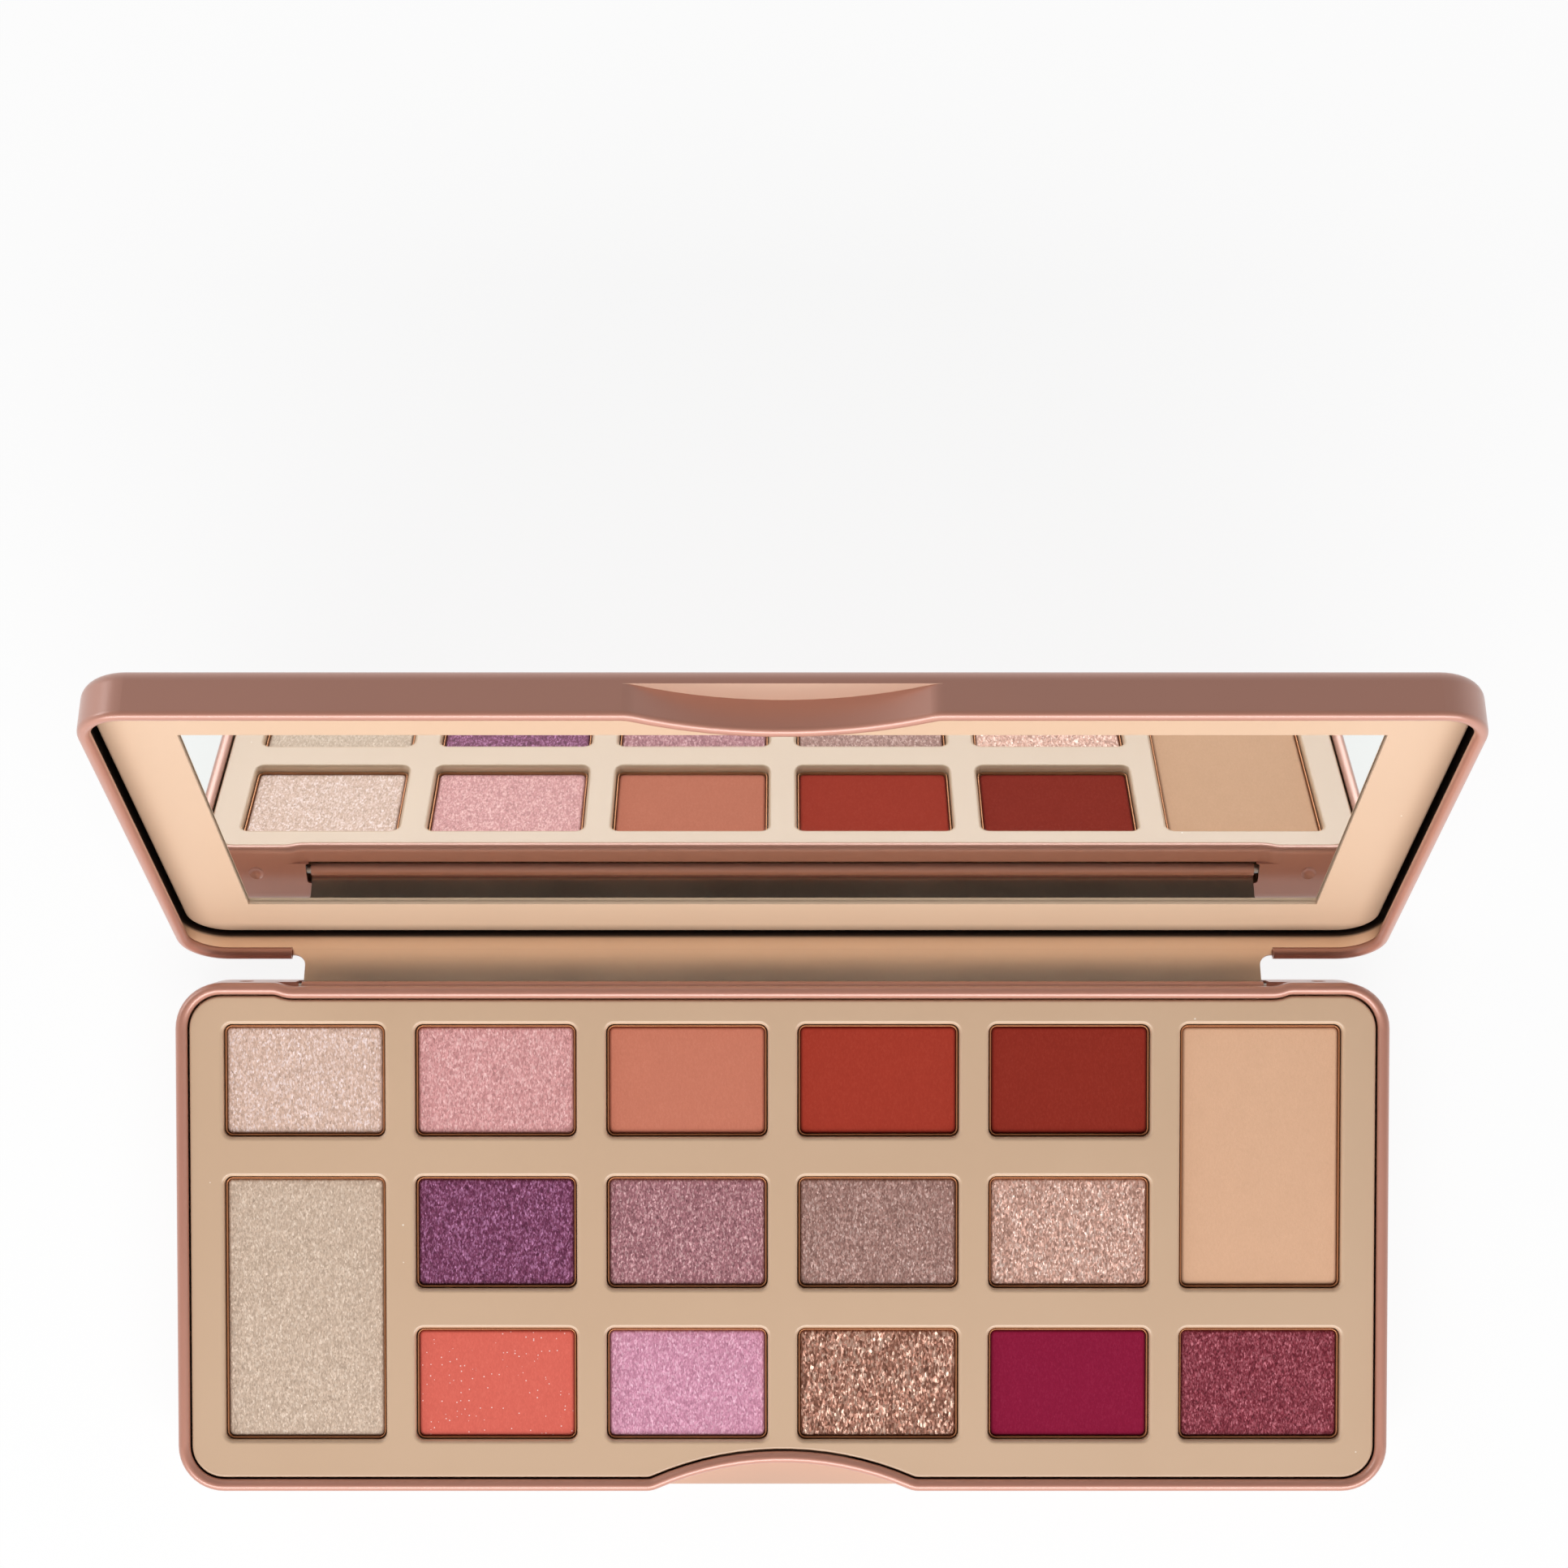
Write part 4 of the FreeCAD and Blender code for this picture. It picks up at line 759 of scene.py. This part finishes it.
NODE_FINISH = {
    "base_shell": BASE_TIN,
    "lid_shell": LID_TIN,
    "pan_tray": TRAY_PLASTIC,
    "mirror_frame": FRAME_PLASTIC,
    "mirror": SILVERED_GLASS,
    "hinge_wire": drawn_metal("hinge_steel", srgb(190, 188, 186), roughness=0.3),
    "closure_magnets": drawn_metal("dark_magnet", srgb(96, 94, 96), roughness=0.5),
    "pan_glue": soft_layer("clear_glue", srgb(228, 222, 205), roughness=0.35),
    "tray_glue": soft_layer("white_glue", srgb(236, 232, 222), roughness=0.4),
    "mirror_tape": soft_layer("foam_tape", srgb(238, 236, 230), roughness=0.8),
    "frame_tape": soft_layer("thin_tape", srgb(232, 222, 196), roughness=0.6),
}
for node, material in NODE_FINISH.items():
    slots = NODES[node].data.materials
    slots.clear()
    slots.append(material)
print("finished CAD nodes:", len(NODE_FINISH))

# %% [markdown]
# ## Pans
# Each pan is drawn from thin lacquered tin and shows only as a warm line round its powder. A box with a
# bevel could stand for it, but its lip catches the light, so its wall is a profile carried round a
# rectangle with round corners: up the outside, over a rounded lip and down the inside.

# %% Surfaces on a grid
CORNER_STEPS = 8
OUTLINE_POINTS = 4 * (CORNER_STEPS + 1)
CREASE_DEG = 50


def rounded_outline(low, high, radius, inset):
    """Points round a rectangle with round corners, drawn in by an inset.

    Each corner is a quarter circle of the radius less the inset about a fixed centre; the straight sides
    join the ends of the quarter circles.
    """
    turn = np.linspace(0, math.pi / 2, CORNER_STEPS + 1)
    angles = (turn[None, :] + np.array([-1, 0, 1, 2])[:, None] * math.pi / 2).ravel()
    middles = np.array([(high[0], low[1]), (high[0], high[1]), (low[0], high[1]), (low[0], low[1])])
    inward = np.array([(-1, 1), (-1, -1), (1, -1), (1, 1)]) * radius
    centres = np.repeat(middles + inward, CORNER_STEPS + 1, axis=0)
    return centres + (radius - inset) * np.c_[np.cos(angles), np.sin(angles)]


def grid_faces(rows, columns, closed):
    """The four corners of each cell of a grid; a closed grid joins its last column to its first."""
    cells = columns if closed else columns - 1
    row, column = np.meshgrid(np.arange(rows - 1), np.arange(cells), indexing="ij")
    here, above = row * columns, (row + 1) * columns
    after = (column + 1) % columns
    corners = (here + column, here + after, above + after, above + column)
    return np.stack([corner.ravel() for corner in corners], axis=1)


def make_piece(name, points, faces, material, replaced):
    """A smooth mesh that rides on the base and stands for a CAD node."""
    mesh = bpy.data.meshes.new(name)
    mesh.from_pydata(points.tolist(), [], faces)
    mesh.validate()
    mesh.shade_smooth()
    mesh.set_sharp_from_angle(angle=math.radians(CREASE_DEG))
    mesh.materials.append(material)
    piece = bpy.data.objects.new(name, mesh)
    bpy.context.scene.collection.objects.link(piece)
    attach(piece, "base")
    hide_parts(replaced)
    return piece


print("points round one pan:", OUTLINE_POINTS)

# %% Pans from a profile
PAN_NUMBERS = [f"{number:02d}" for number in range(1, 17)]
PAN_WALL = 0.2 * MM
PAN_CORNER = 1.1 * MM
FOOT_ROUND = 0.5 * MM
LIP_STEPS = 8
FOOT_STEPS = 5


def pan_profile(height):
    """Insets and heights of a pan's wall, from its foot to its floor.

    A quarter circle at the foot, a straight wall, a half circle over the lip, and straight down inside.
    """
    foot = np.linspace(0, math.pi / 2, FOOT_STEPS)
    lip = np.linspace(math.pi, 0, LIP_STEPS)
    half_wall = PAN_WALL / 2
    inset = np.r_[FOOT_ROUND * (1 - np.sin(foot)), half_wall * (1 + np.cos(lip)), PAN_WALL]
    level = np.r_[FOOT_ROUND * (1 - np.cos(foot)), height - half_wall * (1 - np.sin(lip)), PAN_WALL]
    return inset, level


def make_pan(number):
    """A drawn pan: its profile on a closed grid, with one face under it and one for its floor."""
    node = f"pan_{number}"
    low, high = (np.array(corner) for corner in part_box(node))
    rings = []
    for inset, rise in zip(*pan_profile(high[2] - low[2])):
        outline = rounded_outline(low, high, PAN_CORNER, inset)
        rings.append(np.c_[outline, np.full(OUTLINE_POINTS, low[2] + rise)])
    faces = grid_faces(len(rings), OUTLINE_POINTS, True).tolist()
    last = (len(rings) - 1) * OUTLINE_POINTS
    faces += [list(range(OUTLINE_POINTS - 1, -1, -1)), list(range(last, last + OUTLINE_POINTS))]
    return make_piece(f"drawn_pan_{number}", np.vstack(rings), faces, PAN_TIN, node)


pans = [make_pan(number) for number in PAN_NUMBERS]
print("pans:", len(pans), "with", len(pans[0].data.polygons), "faces each")

# %% [markdown]
# ## Pressed powder
# A powder cake is pressed flat with soft shoulders, and its top keeps a fine relief: almost none on a
# matte shade, more where large flakes of mica lie in it. The top could be a plain slab with a bump, but
# the relief and the shoulders catch the light, so they are real: a grid over the pan, bent round the
# corners and lowered towards its edge. The shoulders are also darkened with painted shade, so each point
# carries a number from 0 on the top to 1 at the edge, which the material reads.

# %% Finishes of the powders
FINISH_COLUMNS = ("flake_mm", "tilt", "metallic", "gloss", "roughness", "relief_mm")
FINISHES = {
    "matte": (0.14, 0.05, 0.0, 0.15, 0.9, 0.004),
    "frost": (0.15, 0.40, 0.10, 0.35, 0.44, 0.015),
    "metal": (0.15, 0.45, 0.25, 0.25, 0.42, 0.015),
    "foil": (0.18, 0.55, 0.30, 0.4, 0.36, 0.03),
    "glitter": (0.22, 0.70, 0.35, 0.4, 0.34, 0.04),
}
# Name, finish, body colour, colour of the painted glints, and how far the darker flakes go towards black.
POWDERS = {
    "01": ("champagne_pink", "frost", (221, 187, 169), (254, 236, 236), 0.34),
    "02": ("rose_pink", "frost", (217, 153, 153), (250, 206, 204), 0.35),
    "03": ("terracotta", "matte", (203, 123, 100), (206, 128, 105), 0.05),
    "04": ("brick_red", "matte", (165, 57, 42), (170, 62, 46), 0.06),
    "05": ("dark_red", "matte", (142, 45, 33), (147, 50, 37), 0.07),
    "06": ("nude_peach", "matte", (223, 178, 146), (225, 181, 149), 0.03),
    "07": ("champagne_gold", "frost", (204, 179, 158), (232, 212, 194), 0.24),
    "08": ("purple", "metal", (118, 54, 88), (192, 132, 174), 0.55),
    "09": ("mauve_rose", "metal", (164, 109, 117), (224, 182, 184), 0.50),
    "10": ("taupe", "metal", (160, 120, 111), (214, 184, 176), 0.42),
    "11": ("rose_gold", "foil", (207, 159, 142), (252, 226, 214), 0.48),
    "12": ("coral", "matte", (219, 105, 91), (224, 113, 98), 0.06),
    "13": ("orchid", "frost", (208, 141, 168), (240, 192, 211), 0.33),
    "14": ("bronze", "glitter", (161, 107, 87), (248, 211, 190), 0.66),
    "15": ("berry", "matte", (138, 23, 57), (144, 30, 63), 0.08),
    "16": ("wine", "metal", (129, 42, 57), (190, 112, 124), 0.55),
}


def finish_of(number):
    """The values of a powder's finish, by the names of the columns."""
    return dict(zip(FINISH_COLUMNS, FINISHES[POWDERS[number][1]]))


print("powders:", len(POWDERS), "in", len(FINISHES), "finishes")

# %% Powder material
# Painted glints: pale specks on some powders stand for sparkle.
PAINTED_GLINT_PANS = {"12"}
PAINTED_GLINT_SPECKS = {"Specks_Per_Metre": 1700.0, "Speck_Size": 0.17, "Share": 0.30}
PAINTED_GLINT_PALER = 0.55
FLAKE_STRETCH = 0.45
POWDER_GRAIN = {"Grains_Per_Metre": 5000.0, "Mottle_Per_Metre": 260.0}
POWDER_GRAIN_DEPTH = 0.012 * MM
CLOUD_SHARE = 0.12
CLOUD_DARKER = 0.5
# Painted shade: how strongly and how far towards black the cake's shoulders are darkened.
PAINTED_SHOULDER_SHADE = 0.85
PAINTED_SHOULDER_DARKER = 0.6
DULLER_BY = 0.1


def powder_material(number):
    """Pressed powder: flakes over its body colour, a slow cloud, painted shade on the shoulders, and
    painted glints on some.
    """
    title, finish, colour, painted_glint, depth = POWDERS[number]
    look = finish_of(number)
    body = srgb(*colour)
    material, tree, shader = new_material(f"{title}_{finish}")
    flakes = use_group(
        tree,
        MICA_FLAKES,
        Body=(*body, 1),
        Shade=(*toward(body, BLACK, depth), 1),
        Glint=(*srgb(*painted_glint), 1),
        Flakes_Per_Metre=1 / (look["flake_mm"] * MM),
        Stretch=FLAKE_STRETCH,
        Tilt=look["tilt"],
    )
    grain = use_group(tree, FINE_GRAIN, **POWDER_GRAIN)
    cloud = math_node(tree, "MULTIPLY", grain.outputs["Mottle"], CLOUD_SHARE)
    top = mix_colours(tree, cloud, flakes.outputs["Colour"], toward(body, BLACK, CLOUD_DARKER))
    # Painted glints: pale specks over the powder's top.
    if number in PAINTED_GLINT_PANS:
        painted_glints = use_group(tree, DUST_AND_GLINT_SPECKS, **PAINTED_GLINT_SPECKS)
        top = mix_colours(tree, painted_glints.outputs["Mask"], top, toward(body, WHITE, PAINTED_GLINT_PALER))
    # Painted shade on the shoulders, read from each point's shoulder number.
    shoulder = add(tree, "ShaderNodeAttribute", attribute_name="shoulder")
    shade = math_node(tree, "MULTIPLY", shoulder.outputs["Fac"], PAINTED_SHOULDER_SHADE)
    whole = mix_colours(tree, shade, top, toward(body, BLACK, PAINTED_SHOULDER_DARKER))
    tree.links.new(whole, shader.inputs["Base Color"])
    shader.inputs["Metallic"].default_value = look["metallic"]
    shader.inputs["Specular IOR Level"].default_value = look["gloss"]
    dullest = look["roughness"] + DULLER_BY
    vary(tree, shader.inputs["Roughness"], flakes.outputs["Shine"], dullest, look["roughness"])
    add_bump(tree, shader, grain.outputs["Height"], POWDER_GRAIN_DEPTH, flakes.outputs["Normal"])
    return material


print("powders with stars:", len(PAINTED_GLINT_PANS))

# %% Shape of a cake's top
CAKE_CORNER = 0.87 * MM
SHOULDER = 0.5 * MM
SHOULDER_STEPS = 6
CAKE_PITCH = 0.2 * MM
RELIEF_PITCHES = 1.6
ABOVE_ZERO = 1e-12


def spaced(span):
    """Places from 0 to a span: close together on the two shoulders, evenly spaced between them."""
    rim = SHOULDER * (1 - np.cos(np.linspace(0, math.pi / 2, SHOULDER_STEPS)))
    count = int(round((span - 2 * SHOULDER) / CAKE_PITCH))
    middle = np.linspace(SHOULDER, span - SHOULDER, count + 1)[1:-1]
    return np.r_[rim, middle, span - rim[::-1]]


def bend_corners(across, deep, size):
    """Moves the square corners of a rectangle onto round ones.

    In the square at each corner, a point keeps its larger distance from the corner's centre as a radius,
    and the ratio of the two distances gives its angle, so straight lines become quarter circles.
    """
    bent = []
    from_middle = [across - size[0] / 2, deep - size[1] / 2]
    past = [np.maximum(np.abs(v) - (s / 2 - CAKE_CORNER), 0) for v, s in zip(from_middle, size)]
    radius = np.maximum(*past)
    steep = past[1] > past[0]
    ratio = np.minimum(*past) / np.maximum(radius, ABOVE_ZERO)
    angle = np.where(steep, math.pi / 2 - ratio * math.pi / 4, ratio * math.pi / 4)
    for v, s, part in zip(from_middle, size, (np.cos(angle), np.sin(angle))):
        straight = np.minimum(np.abs(v), s / 2 - CAKE_CORNER)
        bent.append(np.sign(v) * (straight + radius * part))
    return bent


def relief(shape, seed):
    """Smooth random heights from -1 to 1: white noise with its short waves damped by a bell curve."""
    noise = np.random.default_rng(seed).standard_normal(shape)
    waves = np.hypot(np.fft.fftfreq(shape[0])[:, None], np.fft.fftfreq(shape[1])[None, :])
    soft = np.fft.ifft2(np.fft.fft2(noise) * np.exp(-(waves * RELIEF_PITCHES * math.pi) ** 2)).real
    return np.clip(soft / (2 * soft.std()), -1, 1)


print("shoulder in mm:", SHOULDER / MM, "in", SHOULDER_STEPS, "steps")


# %% Powder cakes
def cake_faces(rows, columns):
    """The cells of a grid without its four corner cells, and one face under it that joins its rim."""
    faces = grid_faces(rows, columns, False)
    corner_cells = [(0, 0), (0, columns - 2), (rows - 2, 0), (rows - 2, columns - 2)]
    faces = np.delete(faces, [row * (columns - 1) + column for row, column in corner_cells], axis=0)
    indices = np.arange(rows * columns).reshape(rows, columns)
    ring = np.r_[indices[1:-1, 0], indices[-1, 1:-1], indices[-2:0:-1, -1], indices[0, -2:0:-1]]
    return faces.tolist() + [ring.tolist()]


def make_powder(number):
    """A powder cake: its top is a bent grid, and the grid's outermost ring is its foot.

    The top is lowered on the shoulders by a quarter circle, and its relief fades out over them.
    """
    node = f"powder_{number}"
    low, high = (np.array(corner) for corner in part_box(node))
    size = (high - low)[:2]
    across, deep = np.meshgrid(spaced(size[0]), spaced(size[1]), indexing="ij")
    edge = np.minimum(np.minimum(across, size[0] - across), np.minimum(deep, size[1] - deep))
    x, y = bend_corners(across, deep, size)
    drop = SHOULDER - np.sqrt(np.maximum(SHOULDER**2 - (SHOULDER - np.minimum(edge, SHOULDER)) ** 2, 0))
    depth = finish_of(number)["relief_mm"] * MM
    z = high[2] - drop - depth * (1 + relief(across.shape, int(number))) * np.minimum(edge / SHOULDER, 1)
    # Painted shade: the shoulder number, from 0 on the top to 1 at the edge.
    shade = np.clip(1 - edge / SHOULDER, 0, 1)
    x, y, z, shade = (np.pad(values, 1, mode="edge") for values in (x, y, z, shade))
    z[[0, -1], :] = low[2]
    z[:, [0, -1]] = low[2]
    middle = (low + high) / 2
    points = np.stack([x + middle[0], y + middle[1], z], axis=-1).reshape(-1, 3)
    faces = cake_faces(*x.shape)
    cake = make_piece(f"powder_cake_{number}", points, faces, powder_material(number), node)
    cake.data.attributes.new("shoulder", "FLOAT", "POINT").data.foreach_set("value", shade.ravel())
    return cake


cakes = [make_powder(number) for number in PAN_NUMBERS]
print("powder cakes:", len(cakes), "with", sum(len(cake.data.polygons) for cake in cakes), "faces in all")
